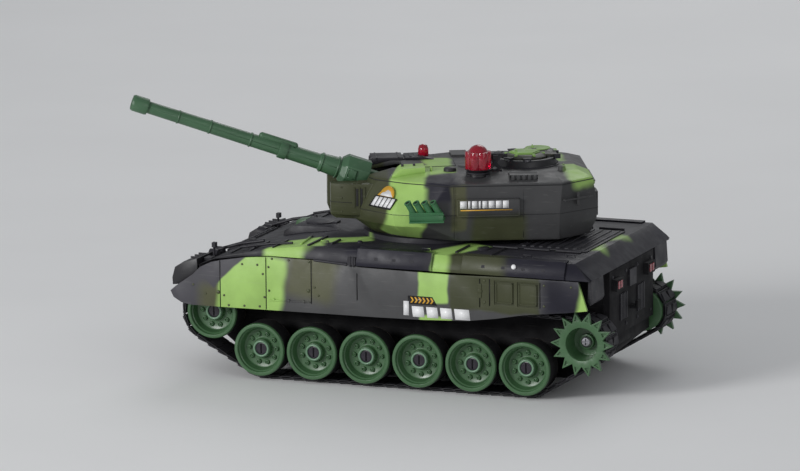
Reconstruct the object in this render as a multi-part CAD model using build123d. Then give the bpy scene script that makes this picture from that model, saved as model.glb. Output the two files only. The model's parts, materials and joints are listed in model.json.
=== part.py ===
"""Radio-controlled battle tank, about 1:24. Millimetres. +X is forward, +Y is the left side, +Z is up.

The origin is on the ground, midway between the tracks and midway between the first and last road wheels.
The turret stands turned to the left and the gun stands raised, which is the rest position of both joints.
"""

from math import atan2, cos, degrees, pi, radians, sin, tan
import os

from build123d import *

os.makedirs("parts", exist_ok=True)

# ---- driving dimensions: stance ----
turret_rest_yaw = 26.0
gun_rest_elevation = 19.0
wall = 2.2
gap = 0.4
running_clearance = 0.05

# ---- road wheels, idler, sprocket ----
wheels_per_side = 6
wheel_pitch = 34.0
wheel_height = 19.0
wheel_radius = 16.2
rim_plane = 69.5
axle_radius = 2.0
first_wheel_x = wheel_pitch * (wheels_per_side - 1) / 2
idler_x = 118.8
idler_height = 38.3
idler_inboard = 7.5
sprocket_x = -120.0
sprocket_height = 35.7
sprocket_teeth = 14
sprocket_tip_radius = 19.6
sprocket_root_radius = 13.4
sprocket_ring_inner = 10.1
sprocket_face = 66.0
sprocket_floor = 54.0
sprocket_boss_end = 57.0
sprocket_boss_radius = 4.4
sprocket_ring_width = 2.6
sprocket_shaft_radius = 2.5
drum_radius = 12.6
bolt_circle_radius = 8.6
bolt_radius = 0.95
bolts_per_wheel = 10

# ---- track belt ----
belt_inner_y = 43.0
belt_outer_y = 63.0
belt_thickness = 1.4
pad_height = 1.05
pad_share = 0.66
links_per_track = 78
ground_run_inside = belt_thickness + pad_height

# ---- hull ----
skirt_outer_y = 72.5
skirt_thickness = 2.0
fender_edge_y = 69.0
deck_z = 84.5
fender_low_z = 75.0
tub_half_width = 40.0
tub_floor_z = 9.0
axle_boss_radius = 4.5
axle_boss_end = 51.6
seam_width = 0.7
seam_depth = 0.5
sheet = 2.2

# ---- turret ----
turret_axis_x = 0.0
ring_hole_radius = 36.2
ring_neck_radius = 35.7
collar_radius = 41.0
collar_top_z = 87.4
turret_low_z = 88.2
turret_chin_z = 97.0
turret_waist_z = 104.0
turret_edge_z = 122.3
turret_roof_z = 126.0
slot_half_width = 11.0
mantlet_low_z = 99.6
mantlet_top_z = 118.5
mantlet_front = 62.0

# ---- turret roof: z is measured from the roof or its edge in each piece ----
lamp_x = -25.0
lamp_y = 38.0
lamp_lobes = 6
lamp_lobe_circle = 4.2
lamp_lobe_radius = 3.6
lamp_low_z = 129.2
lamp_top_z = 139.8
cupola_x = -56.0
cupola_y = 6.0
hatch_x = -67.0
hatch_y = -25.0
hatch_hinge_x = cupola_x - 19.0
hatch_hinge_rise = 5.5
hatch_ear_half_width = 4.0
neck_bore_radius = 28.0
trunnion_cheek_y = 9.6
crank_x = -24.0
crank_height = 104.0
launch_tubes = 4
launch_tube_radius = 1.9
launch_tube_length = 13.0
launch_tube_pitch = 5.0

# ---- gun ----
trunnion_x = 2.0
trunnion_z = 106.1
trunnion_pin_radius = 2.0
gun_root_start = 39.0
gun_root_end = 53.0
gun_root_flats = 19.0
sleeve_start = 56.5
barrel_length = 188.0

# ---- turret drive gears ----
gear_module = 1.0
ring_gear_teeth = 68
pinion_teeth = 10
gear_addendum = 0.75
gear_dedendum = 1.15
gear_backlash = 0.3
gear_mesh_slack = 0.15
gear_flank_angle = 20.0
gear_low_z = 74.6
gear_top_z = 79.0


# ---- shape helpers ----
def block(x_low, x_high, y_low, y_high, z_low, z_high):
    size = (x_high - x_low, y_high - y_low, z_high - z_low)
    middle = ((x_low + x_high) / 2, (y_low + y_high) / 2, (z_low + z_high) / 2)
    return Pos(*middle) * Box(*size)


def prism_across(outline, y_low, y_high):
    """An outline of (x, z) points, extruded across the tank."""
    face = make_face(Polyline(*[(x, y_low, z) for x, z in outline], close=True))
    return extrude(face, amount=y_high - y_low, dir=(0, 1, 0))


def prism_up(outline, z_low, z_high):
    """An outline of (x, y) points, extruded upwards."""
    face = make_face(Polyline(*[(x, y, z_low) for x, y in outline], close=True))
    return extrude(face, amount=z_high - z_low, dir=(0, 0, 1))


def prism_along(outline, x_low, x_high):
    """An outline of (y, z) points, extruded along the tank."""
    face = make_face(Polyline(*[(x_low, y, z) for y, z in outline], close=True))
    return extrude(face, amount=x_high - x_low, dir=(1, 0, 0))


def rod_across(x, z, radius, y_low, y_high):
    return Pos(x, (y_low + y_high) / 2, z) * Rot(90, 0, 0) * Cylinder(radius, y_high - y_low)


def rod_up(x, y, radius, z_low, z_high):
    return Pos(x, y, (z_low + z_high) / 2) * Cylinder(radius, z_high - z_low)


def rod_along(x_low, x_high, radius, y=0.0, z=0.0):
    return Pos((x_low + x_high) / 2, y, z) * Rot(0, 90, 0) * Cylinder(radius, x_high - x_low)


def turned_across(profile, x, z):
    """A profile of (radius, y) points, turned about a line across the tank."""
    face = make_face(Polyline(*[(x + radius, y, z) for radius, y in profile], close=True))
    return revolve(face, Axis((x, 0, z), (0, 1, 0)), 360)


def turned_along(profile):
    """A profile of (x, radius) points, turned about the X axis."""
    face = make_face(Polyline(*[(x, radius, 0) for x, radius in profile], close=True))
    return revolve(face, Axis.X, 360)


def turned_up(profile, x, y):
    """A profile of (radius, z) points, turned about an upright line."""
    face = make_face(Polyline(*[(x + radius, y, z) for radius, z in profile], close=True))
    return revolve(face, Axis((x, y, 0), (0, 0, 1)), 360)


def other_side(shape):
    return mirror(shape, about=Plane.XZ)


def both_sides(half_outline):
    """A left-hand outline closed with its own mirror image."""
    return half_outline + [(x, -y) for x, y in reversed(half_outline)]


def write(name, *shapes):
    solids = [solid for shape in shapes for solid in shape.solids()]
    export_step(solids[0] if len(solids) == 1 else Compound(children=solids), f"parts/{name}.step")


def on_turret(shape):
    return Pos(turret_axis_x, 0, 0) * Rot(0, 0, turret_rest_yaw) * shape


def on_gun(shape):
    raised = Pos(trunnion_x, 0, trunnion_z) * Rot(0, -gun_rest_elevation, 0) * shape
    return on_turret(raised)


# ---- running gear ----
def road_wheel(x, z, inboard):
    """A deep dished wheel: tyre drum, stepped rim, bolted disc, raised hub collar and a back web."""
    bore = axle_radius + running_clearance
    face = rim_plane - inboard
    profile = [
        (bore, face - 17.5),
        (5.0, face - 17.5),
        (5.0, face - 12.5),
        (13.4, face - 12.5),
        (13.4, face - 15.5),
        (wheel_radius, face - 15.5),
        (wheel_radius, face - 1.2),
        (wheel_radius - 0.4, face - 0.9),
        (wheel_radius - 0.6, face),
        (13.9, face),
        (13.5, face - 1.5),
        (12.7, face - 2.2),
        (11.9, face - 6.4),
        (6.8, face - 7.4),
        (5.8, face - 7.1),
        (5.3, face - 3.8),
        (4.9, face - 3.3),
        (4.1, face - 3.3),
        (4.1, face - 6.5),
        (bore, face - 6.5),
    ]
    wheel = turned_across(profile, x, z)
    bolts = []
    for i in range(bolts_per_wheel):
        turn = 2 * pi * i / bolts_per_wheel
        bolt_x = x + bolt_circle_radius * cos(turn)
        bolt_z = z + bolt_circle_radius * sin(turn)
        bolts.append(rod_across(bolt_x, bolt_z, bolt_radius, face - 8.2, face - 5.6))
    return wheel + bolts


def hub_cap(x, z, inboard):
    """A round cap on the axle's end, with a straight slot."""
    face = rim_plane - inboard
    cap = rod_across(x, z, 3.7, face - 6.1, face - 3.9)
    return cap - block(x - 0.55, x + 0.55, face - 4.9, face, z - 2.9, z + 2.9)


def axle_pin(x, z, inboard):
    return rod_across(x, z, axle_radius, tub_half_width - 8.0, rim_plane - inboard - 6.1)


def sprocket():
    """Pointed teeth on an outer ring, a dished hub, the drum that carries the belt and a shaft bore."""
    ring_back = sprocket_face - sprocket_ring_width
    outline = []
    for i in range(sprocket_teeth):
        tip = 2 * pi * i / sprocket_teeth
        root = tip + pi / sprocket_teeth
        outline.append((sprocket_tip_radius * cos(tip), sprocket_tip_radius * sin(tip)))
        outline.append((sprocket_root_radius * cos(root), sprocket_root_radius * sin(root)))
    ring = prism_across([(sprocket_x + a, sprocket_height + b) for a, b in outline], ring_back, sprocket_face)
    drum = rod_across(sprocket_x, sprocket_height, drum_radius, belt_inner_y - 2.4, sprocket_face)
    dish = turned_across(
        [(sprocket_boss_radius, sprocket_floor), (8.8, sprocket_floor), (sprocket_ring_inner, sprocket_face + 1),
         (0, sprocket_face + 1), (0, sprocket_boss_end), (sprocket_boss_radius, sprocket_boss_end)],
        sprocket_x, sprocket_height,
    )
    bore = rod_across(sprocket_x, sprocket_height, sprocket_shaft_radius, 0, sprocket_face + 2)
    pockets = []
    for i in range(sprocket_teeth):
        tip = 2 * pi * i / sprocket_teeth
        spread = 0.42 * pi / sprocket_teeth
        corners = [(sprocket_tip_radius - 2.2, tip), (14.3, tip - spread), (14.3, tip + spread)]
        flat = [(sprocket_x + r * cos(a), sprocket_height + r * sin(a)) for r, a in corners]
        pockets.append(prism_across(flat, sprocket_face - 0.9, sprocket_face + 1))
    return ring + drum - dish - bore - pockets


def sprocket_shaft():
    """The gearbox output shaft, with the round head of the screw in its outer end."""
    end = sprocket_boss_end
    shaft = rod_across(sprocket_x, sprocket_height, sprocket_shaft_radius, 16.0, end)
    head = turned_across(
        [(0, end), (3.4, end), (3.4, end + 0.9), (2.4, end + 1.7), (0, end + 1.9)], sprocket_x, sprocket_height,
    )
    cross = block(-2.0, 2.0, end + 1.0, end + 3.0, -0.35, 0.35) + block(-0.35, 0.35, end + 1.0, end + 3.0, -2.0, 2.0)
    return shaft + head - Pos(sprocket_x, 0, sprocket_height) * cross


def belt_loop(extra):
    """The face inside a belt that runs round the sprocket, the idler, and the first and last road wheels."""
    reach = wheel_height - ground_run_inside + extra
    rounds = [
        (first_wheel_x, wheel_height, reach),
        (-first_wheel_x, wheel_height, reach),
        (sprocket_x, sprocket_height, drum_radius + gap + extra),
        (idler_x, idler_height, wheel_radius + gap + extra),
    ]
    circles = [Pos(x, z) * Circle(radius) for x, z, radius in rounds]
    edges = [edge for circle in circles for edge in circle.edges()]
    return make_hull(edges)


def track():
    """One closed belt with a raised cross pad on every link."""
    upright = Plane(origin=(0, belt_outer_y, 0), x_dir=(1, 0, 0), z_dir=(0, -1, 0))
    width = belt_outer_y - belt_inner_y
    outer = belt_loop(belt_thickness)
    belt = extrude(upright * outer, amount=width) - extrude(upright * belt_loop(0), amount=width)
    path = outer.face().outer_wire()
    pad_length = pad_share * path.length / links_per_track
    pads = []
    for i in range(links_per_track):
        share = i / links_per_track
        spot = path.position_at(share)
        heading = path.tangent_at(share)
        turn = degrees(atan2(heading.Y, heading.X))
        pad = Pos(spot.X, belt_outer_y - width / 2, spot.Y) * Rot(0, -turn, 0)
        pads.append(pad * Box(pad_length, width, 2 * pad_height))
    inside = extrude(upright * belt_loop(belt_thickness / 2), amount=width)
    rim = extrude(upright * belt_loop(belt_thickness + pad_height), amount=width)
    treads = (Part() + pads) & rim
    return belt + (treads - inside)


# ---- hull ----
glacis_line = [(140.0, 60.0), (126.0, 68.0), (108.0, 75.4), (77.0, 81.6), (52.0, deck_z)]
deck_rear_x = -117.0
tail_x = -128.0


def upper_hull():
    """The moulded top: glacis, deck, tail, fender edges that slope in, and the turret collar."""
    top = glacis_line + [(deck_rear_x, deck_z), (tail_x, fender_low_z)]
    under = [(x, z - sheet) for x, z in glacis_line]
    under += [(deck_rear_x + 1.2, deck_z - sheet), (tail_x + 2.6, fender_low_z)]
    plate = prism_across(top + under[::-1], -fender_edge_y, fender_edge_y)
    band_low = [(112.0, 73.6), (93.0, 76.2), (77.0, 77.6), (48.0, 77.4), (26.0, 76.0), (18.0, fender_low_z),
                (-112.0, fender_low_z), (tail_x + 1.0, fender_low_z)]
    band = prism_across(glacis_line[1:] + [(deck_rear_x, deck_z)] + band_low[::-1], 0, skirt_outer_y)
    slope = prism_along(
        [(fender_edge_y - sheet, fender_low_z - 12), (skirt_outer_y, fender_low_z - 12), (skirt_outer_y, fender_low_z + 2),
         (fender_edge_y, deck_z), (fender_edge_y, deck_z + 1), (fender_edge_y - sheet, deck_z + 1)],
        tail_x, 140.0,
    )
    side = band & slope
    ring_hole = rod_up(turret_axis_x, 0, ring_hole_radius, 0, deck_z + 10)
    collar = rod_up(turret_axis_x, 0, collar_radius, deck_z - 0.5, collar_top_z)
    hump = prism_across(
        [(92.0, 76.0), (90.0, 82.0), (84.0, 85.2), (62.0, 85.9), (50.0, deck_z), (50.0, deck_z - 1)],
        -15.0, 15.0,
    )
    hump_hollow = prism_across(
        [(89.5, 76.0), (88.0, 80.4), (83.0, 83.2), (62.0, 83.8), (54.0, 81.8)], -13.0, 13.0,
    )
    guard_room = block(123.6, 150.0, 45.6, 80.0, 50.0, 80.0)
    return plate + [side, other_side(side), hump, collar] - hump_hollow - ring_hole - guard_room - other_side(guard_room)


def inner_skin_z(x):
    """The height of the underside of the top plate."""
    line = glacis_line
    if x <= line[-1][0]:
        return deck_z - sheet
    for (x_high, z_high), (x_low, z_low) in zip(line, line[1:]):
        if x_low <= x <= x_high:
            return z_low + (z_high - z_low) * (x - x_low) / (x_high - x_low) - sheet
    return line[0][1] - sheet


def tub_outline(inset):
    """The lower hull from the side, drawn in by inset everywhere but at its open top."""
    front = [(x - inset, inner_skin_z(x) + (20 if inset else -0.15)) for x in (52.0, 77.0, 108.0, 126.0, 133.0)]
    chin = [(136.0 - inset, 52.0), (118.0 - inset, 20.0 + inset), (104.0, tub_floor_z + inset)]
    rear = [(-104.0, tub_floor_z + inset), (-125.0 + inset, 26.0), (-125.0 + inset, fender_low_z)]
    top = [(-115.5 + inset, deck_z - sheet + (20 if inset else -0.15))]
    return front + chin + rear + top


battery_bay = (-34.0, 40.0, -21.0, 21.0)
switch_x = 66.0
switch_travel = 4.0


def lower_hull():
    """The open tub that carries everything: side walls with axle bosses, sloped nose, floor openings."""
    tub = prism_across(tub_outline(0), -tub_half_width, tub_half_width)
    hollow = prism_across(tub_outline(wall), -tub_half_width + wall, tub_half_width - wall)
    tub -= hollow
    bosses = []
    holes = []
    for x, z, end in axle_places():
        bosses.append(rod_across(x, z, axle_boss_radius, tub_half_width - wall - 3, end))
        holes.append(rod_across(x, z, axle_radius, tub_half_width - 8.0, end + 1))
    shaft_hole = rod_across(sprocket_x, sprocket_height, sprocket_shaft_radius + gap, 30.0, tub_half_width + 1)
    sides = bosses + [other_side(boss) for boss in bosses]
    cuts = holes + [shaft_hole]
    cuts += [other_side(cut) for cut in cuts]
    x_low, x_high, y_low, y_high = battery_bay
    cuts.append(block(x_low, x_high, y_low, y_high, tub_floor_z - 1, tub_floor_z + wall + 1))
    cuts.append(block(switch_x - 5.5, switch_x + 5.5, -2.4, 2.4, tub_floor_z - 1, tub_floor_z + wall + 1))
    cuts += [rod_up(x, y, 1.6, tub_floor_z - 1, tub_floor_z + wall + 1) for x, y in hull_screw_places]
    slots = [prism_across([(112.0, 30.0), (140.0, 36.0), (140.0, 44.0), (112.0, 38.0)], y - 1.2, y + 1.2)
             for y in (-24.0, -18.0, -12.0, 12.0, 18.0, 24.0)]
    return tub + sides - cuts - slots


def axle_places():
    """Where each undriven wheel's boss stands on the left side: x, height and outer end."""
    places = [(first_wheel_x - i * wheel_pitch, wheel_height, axle_boss_end) for i in range(wheels_per_side)]
    return places + [(idler_x, idler_height, axle_boss_end - idler_inboard)]


hull_screw_places = [(96.0, -30.0), (96.0, 30.0), (-60.0, -30.0), (-60.0, 30.0), (12.0, -32.0), (12.0, 32.0)]


def hull_screw(x, y):
    """A round-headed screw that rises through the floor."""
    head = turned_up([(0, 7.6), (1.6, 7.7), (2.8, 8.4), (2.8, tub_floor_z), (0, tub_floor_z)], x, y)
    return head + rod_up(x, y, 1.5, tub_floor_z, tub_floor_z + 14) - block(x - 1.8, x + 1.8, y - 0.3, y + 0.3, 7, 8.2)


skirt_top = [(137.5, 55.4), (126.1, 63.4), (121.5, 68.0), (114.5, 71.4), (108.0, 73.0), (93.0, 75.6), (77.0, 77.0),
             (48.0, 76.8), (26.0, 75.4), (18.0, 74.4), (-40.0, 73.6), (-77.0, 74.4), (-120.4, 74.4)]
skirt_bottom = [(-125.8, 57.3), (-113.0, 55.4), (-86.0, 52.3), (-68.0, 48.9), (-50.0, 46.4), (-22.0, 45.2),
                (5.0, 44.8), (108.0, 44.4), (127.9, 44.4), (134.0, 45.6), (139.0, 48.5), (141.0, 52.4)]


def skirt():
    """The flat side armour with its panel seams, a lever bar, a knob and two framed recesses."""
    inner_y = skirt_outer_y - skirt_thickness
    plate = prism_across(skirt_top + skirt_bottom, inner_y, skirt_outer_y)
    cut_y = skirt_outer_y - seam_depth
    seams = [(108.4, 44.0, 78.0), (78.5, 44.0, 78.0), (49.2, 50.0, 78.0), (19.7, 54.0, 70.6),
             (-58.5, 55.2, 72.6), (-64.7, 56.4, 72.8), (-96.5, 56.9, 72.4)]
    half = seam_width / 2
    cuts = [block(x - half, x + half, cut_y, skirt_outer_y + 1, low, high) for x, low, high in seams]
    frames = [(-80.2, -67.6, 57.6, 72.0), (-95.4, -82.1, 57.2, 72.0)]
    cuts += [block(a, b, cut_y, skirt_outer_y + 1, c, d) - block(a + 0.8, b - 0.8, 0, 99, c + 0.8, d - 0.8)
             for a, b, c, d in frames]
    return plate - cuts


def mudguard():
    """The rounded block over the front of the track."""
    outline = [(124.0, 62.0), (134.0, 56.4), (140.5, 55.6), (140.8, 60.0), (139.0, 66.4), (133.0, 70.2), (124.5, 72.4)]
    return prism_across(outline, 46.0, 70.0)


def fender_box():
    """The long stowage bins that stand on the outer edge of the fender."""
    def bin_between(x_low, x_high):
        section = [(fender_edge_y + 0.2, deck_z + 0.2), (skirt_outer_y + 0.1, fender_low_z + 2.4),
                   (skirt_outer_y + 0.1, fender_low_z + 0.2), (skirt_outer_y + 1.1, fender_low_z + 0.2),
                   (skirt_outer_y + 1.1, fender_low_z + 2.8), (fender_edge_y + 1.2, deck_z + 0.9),
                   (fender_edge_y - 5.0, deck_z + 0.9), (fender_edge_y - 5.0, deck_z + 0.2)]
        return prism_along(section, x_low, x_high)

    return bin_between(-28.0, 20.0) + bin_between(-112.0, -47.0)


def engine_grille():
    """The raised louvre panel behind the turret ring."""
    base = block(-112.0, -66.0, -34.0, 34.0, deck_z, deck_z + 0.8)
    louvres = [block(-110.0 + i * 5.4, -107.4 + i * 5.4, -31.0, 31.0, deck_z + 0.6, deck_z + 1.5) for i in range(8)]
    return base + louvres


def tail_panel():
    """The upright rear plate with two lamp housings and a tow bar hook."""
    plate = block(tail_x, tail_x + 3.0, -tub_half_width + 1, tub_half_width - 1, 34.0, fender_low_z - 0.3)
    lamps = [block(tail_x - 3.0, tail_x, y - 6.0, y + 6.0, 62.0, 69.0) for y in (-28.0, 28.0)]
    hook = prism_across([(tail_x, 46.0), (tail_x - 5.0, 46.0), (tail_x - 5.0, 51.0), (tail_x - 3.4, 51.0),
                         (tail_x - 3.4, 48.0), (tail_x, 48.0)], -3.0, 3.0)
    return plate + lamps + [hook]


def periscope():
    """The driver's periscope on the glacis."""
    return prism_across([(96.0, 78.2), (94.8, 82.4), (88.6, 83.4), (87.0, 80.0)], -25.5, -16.0)


# ---- inside the hull ----
def battery_pack():
    """Five round cells side by side in one shrink wrap."""
    cells = [rod_across(-24.0 + i * 14.2, 18.5, 7.2, -26.0, 26.0) for i in range(5)]
    return Part() + cells + block(-24.0, 32.8, -25.0, 25.0, 12.5, 24.5)


def battery_door():
    x_low, x_high, y_low, y_high = battery_bay
    door = block(x_low + gap, x_high - gap, y_low + gap, y_high - gap, tub_floor_z, tub_floor_z + wall)
    ribs = [block(x_high - 12 - i * 4, x_high - 10 - i * 4, -10.0, 10.0, tub_floor_z - 1, tub_floor_z) for i in range(4)]
    return door + ribs - rod_up(x_low + 5.0, 0, 1.6, 0, 20)


def control_board():
    """The receiver and motor driver board, with its chips and connectors."""
    board = block(40.0, 98.0, -24.0, 24.0, 58.0, 59.6)
    chips = [block(50.0, 60.0, -6.0, 6.0, 59.6, 61.6), block(72.0, 80.0, -14.0, -4.0, 59.6, 61.2),
             block(86.0, 95.0, -20.0, 20.0, 59.6, 66.0), block(62.0, 68.0, 8.0, 20.0, 59.6, 65.0)]
    posts = [rod_up(x, y, 2.4, tub_floor_z + wall, 58.0) for x in (44.0, 92.0) for y in (-20.0, 20.0)]
    return board + chips + posts


def speaker():
    return turned_up([(0, 11.2), (12.0, 11.2), (13.5, 13.0), (13.5, 15.0), (8.0, 16.0), (8.0, 20.0), (0, 20.0)], 90.0, 0)


def gearbox():
    """One track's gear case, with the bore that the sprocket shaft turns in."""
    case = block(-121.6, -94.0, 14.0, tub_half_width - wall - 0.6, 27.0, 50.0)
    bore = rod_across(sprocket_x, sprocket_height, sprocket_shaft_radius + running_clearance, 15.0, tub_half_width)
    bosses = [rod_across(-98.0, z, 2.4, 12.0, tub_half_width - wall - 0.6) for z in (30.0, 46.0)]
    return case + bosses - bore


def drive_motor():
    """The flat-sided can motor that drives one gear case."""
    can = rod_along(-93.9, -66.0, 10.0, 24.0, 34.0) & block(-94.0, -66.0, 14.0, 34.0, 26.4, 41.6)
    return can + rod_along(-66.0, -63.0, 3.0, 24.0, 34.0)


def power_switch_case():
    low = tub_floor_z + wall
    case = block(switch_x - 9.0, switch_x + 9.0, -4.5, 4.5, low + 3.4, low + 9.0)
    feet = [block(x - 1.5, x + 1.5, -4.5, 4.5, low, low + 3.4) for x in (switch_x - 7.5, switch_x + 7.5)]
    return case + feet


def power_switch_knob():
    x = switch_x - switch_travel / 2
    low = tub_floor_z - 1.2
    return block(x - 2.2, x + 2.2, -1.9, 1.9, low, tub_floor_z + wall + 3.0)


# ---- turret drive ----
def gear_outline(teeth, phase):
    """A straight-flanked gear outline; phase turns it, in radians."""
    pitch_radius = gear_module * teeth / 2
    tip = pitch_radius + gear_addendum
    root = pitch_radius - gear_dedendum
    thickness = pi * gear_module / 2 - gear_backlash
    lean = tan(radians(gear_flank_angle))
    tip_half = (thickness / 2 - gear_addendum * lean) / tip
    root_half = (thickness / 2 + gear_dedendum * lean) / root
    outline = []
    for i in range(teeth):
        middle = phase + 2 * pi * i / teeth
        for radius, turn in ((root, -root_half), (tip, -tip_half), (tip, tip_half), (root, root_half)):
            outline.append((radius * cos(middle + turn), radius * sin(middle + turn)))
    return outline


pinion_distance = gear_module * (ring_gear_teeth + pinion_teeth) / 2 + gear_mesh_slack


def ring_gear():
    """The toothed ring under the turret, with a tooth space facing the pinion."""
    phase = pi + pi / ring_gear_teeth
    outline = [(turret_axis_x + a, b) for a, b in gear_outline(ring_gear_teeth, phase)]
    return prism_up(outline, gear_low_z, gear_top_z) - rod_up(turret_axis_x, 0, 28.0, 0, 100)


def turret_pinion():
    outline = [(turret_axis_x - pinion_distance + a, b) for a, b in gear_outline(pinion_teeth, 0)]
    wheel = prism_up(outline, gear_low_z + 0.3, gear_top_z - 0.3)
    return wheel + rod_up(turret_axis_x - pinion_distance, 0, 1.0, 70.0, gear_low_z + 0.3)


def turret_motor():
    """The can motor that stands in the hull under the pinion, on a post from the floor."""
    x = turret_axis_x - pinion_distance
    can = rod_up(x, 0, 8.0, 46.0, 71.0) - rod_up(x, 0, 1.0 + running_clearance, 69.0, 72.0)
    saddle = block(x - 11.0, x + 11.0, -11.0, 11.0, 42.0, 46.0)
    legs = [block(x - 11.0, x - 8.0, y - 1.5, y + 1.5, tub_floor_z + wall, 42.0) for y in (-9.5, 9.5)]
    return can + saddle + legs


# ---- turret ----
def outline_at(front, cheek_start, cheek_end, side_front, side_rear, rear):
    return both_sides([front, cheek_start, cheek_end, side_front, side_rear, rear])


turret_levels = [
    (turret_low_z, outline_at((37, 11), (34, 19), (17, 37), (-12, 53), (-72, 55), (-92, 37))),
    (turret_chin_z, outline_at((48, 16), (43, 27), (26, 47.5), (6, 54), (-72, 56), (-96, 38))),
    (turret_waist_z, outline_at((48, 16), (44, 27), (27, 48), (8, 55), (-72, 56.5), (-97, 38))),
    (turret_edge_z, outline_at((38, 16), (35, 24), (19, 38), (-6, 53), (-74, 54.5), (-94, 36))),
    (turret_roof_z, outline_at((24, 13), (21, 17), (8, 27), (-14, 37), (-70, 38), (-85, 26))),
]


def shrunk(outline, amount):
    """An outline drawn in towards its own middle line by about the given amount."""
    middle = sum(x for x, y in outline) / len(outline)
    half_length = max(x for x, y in outline) - middle
    half_width = max(y for x, y in outline)
    return [(middle + (x - middle) * (1 - amount / half_length), y * (1 - amount / half_width)) for x, y in outline]


def stacked(levels):
    """Ruled blocks between one outline and the next."""
    faces = [make_face(Polyline(*[(x, y, z) for x, y in outline], close=True)) for z, outline in levels]
    return [loft([low, high], ruled=True) for low, high in zip(faces, faces[1:])]


def turret_outside():
    return Part() + stacked(turret_levels)


def turret_shell():
    """The faceted casting: wedge cheeks, gun slot, mantlet cheeks, bustle and a low crowned roof."""
    outside = turret_outside()
    lift = [0.0, 0.0, 0.0, -1.0, -wall]
    inside = Part() + stacked([(z + up - (1 if z == turret_low_z else 0), shrunk(outline, wall + 0.6))
                               for up, (z, outline) in zip(lift, turret_levels)])
    cheek = prism_up([(36.0, slot_half_width), (mantlet_front, slot_half_width), (mantlet_front, 18.0), (49.5, 24.0),
                      (36.0, 24.0)], mantlet_low_z, mantlet_top_z)
    chin = prism_across([(40.0, 96.0), (mantlet_front - 3, 97.4), (mantlet_front, mantlet_low_z), (40.0, mantlet_low_z)],
                        -18.0, 18.0)
    slot = block(18.0, 80.0, -slot_half_width, slot_half_width, mantlet_low_z, 140.0)
    mouth = prism_across([(2.0, 103.0), (20.0, 99.0), (20.0, 130.0), (16.0, 130.0)], -slot_half_width, slot_half_width)
    plate = block(-48.0, -10.6, 54.0, 57.6, 103.5, 114.0)
    plates = [plate, other_side(plate)]
    return outside + [cheek, other_side(cheek), chin] + plates - inside - slot - (mouth & inside)


def turret_base():
    """The floor of the turret with the round neck that turns in the hull's ring."""
    plate = prism_up(shrunk(turret_levels[0][1], wall + 0.9), turret_low_z, turret_low_z + 1.8)
    well = rod_up(0, 0, neck_bore_radius, 0, turret_low_z)
    neck = rod_up(0, 0, ring_neck_radius, gear_top_z, turret_low_z) - well
    flange = rod_up(0, 0, ring_hole_radius + 1.0, gear_top_z, deck_z - sheet - 0.7) - well
    wire_hole = rod_up(-18.0, 0, 6.0, 0, 100)
    cheeks = [block(-4.0, 8.0, y - 1.5, y + 1.5, turret_low_z + 1, 117.0)
              for y in (-trunnion_cheek_y, trunnion_cheek_y)]
    bore = rod_across(trunnion_x, trunnion_z, trunnion_pin_radius, -20, 20)
    return plate + [neck, flange] + cheeks - wire_hole - bore


def smoke_launcher():
    """Four slanted tubes on a box, on the left cheek."""
    shelf_z = turret_waist_z + 3.0
    base = block(-2.0, 18.0, 53.8, 60.4, shelf_z - 5.4, shelf_z)
    tube = Rot(-18, 28, 0) * Cylinder(launch_tube_radius, launch_tube_length)
    tubes = [Pos(1.0 + i * launch_tube_pitch, 58.0, shelf_z + 0.5) * tube for i in range(launch_tubes)]
    return base + tubes - block(-30, 60, 40, 55.3, shelf_z, 130)


def alarm_lamp():
    """Six round lobes about a centre, closed on top by a dome."""
    lobes = []
    for i in range(lamp_lobes):
        turn = 2 * pi * i / lamp_lobes
        lobe_x = lamp_x + lamp_lobe_circle * cos(turn)
        lobe_y = lamp_y + lamp_lobe_circle * sin(turn)
        lobes.append(rod_up(lobe_x, lobe_y, lamp_lobe_radius, lamp_low_z, lamp_top_z - 0.2))
    ball = Pos(lamp_x, lamp_y, lamp_top_z - 2.4) * Sphere(6.2)
    dome = ball & rod_up(lamp_x, lamp_y, 10.0, lamp_top_z - 2.8, lamp_top_z + 10)
    return rod_up(lamp_x, lamp_y, 5.6, lamp_low_z, lamp_top_z) + lobes + [dome]


def lamp_base():
    low = turret_edge_z - 1.5
    profile = [(0, low), (9.2, low), (9.2, low + 2.0), (6.0, low + 4.0), (6.0, lamp_low_z - 2.2), (8.2, lamp_low_z),
               (0, lamp_low_z)]
    return turned_up(profile, lamp_x, lamp_y)


def cupola_ring():
    """The raised ring round the commander's opening, with periscope lugs."""
    low = turret_roof_z
    profile = [(14.2, low), (20.0, low), (18.4, low + 4.5), (15.6, low + 4.5), (14.2, low + 2.9)]
    return turned_up(profile, cupola_x, cupola_y)


def commander_hatch():
    """The hinged lid of the cupola."""
    low = turret_roof_z + 3.4
    lid = turned_up([(0, low), (13.6, low), (13.6, low + 1.7), (11.0, low + 3.1), (0, low + 3.7)], cupola_x, cupola_y)
    near = cupola_y - hatch_ear_half_width
    far = cupola_y + hatch_ear_half_width
    ear = block(hatch_hinge_x, cupola_x - 11.0, near, far, low + 1.5, low + 2.7)
    barrel = rod_across(hatch_hinge_x, turret_roof_z + hatch_hinge_rise, 0.6, near, far)
    return lid + [ear, barrel]


def loader_hatch():
    low = turret_roof_z
    return turned_up([(0, low), (11.0, low), (10.4, low + 2.3), (7.6, low + 3.5), (0, low + 3.7)], hatch_x, hatch_y)


def gun_crutch():
    """The crossed bracket for a roof machine gun."""
    foot = block(-40.0, -32.0, 23.0, 31.0, turret_roof_z - 2.5, turret_roof_z + 0.9)
    arms = [Pos(-36.0, 27.0, turret_roof_z + 4.9) * Rot(0, lean, 0) * Box(2.2, 3.0, 10.5) for lean in (-38, 38)]
    return foot + arms


def sight_box():
    """The gunner's sight hood."""
    low = turret_edge_z - 0.9
    return prism_across([(6.0, low), (24.0, low), (26.0, low + 2.2), (20.0, low + 6.8), (6.0, low + 7.4)], 14.0, 29.0)


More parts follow.
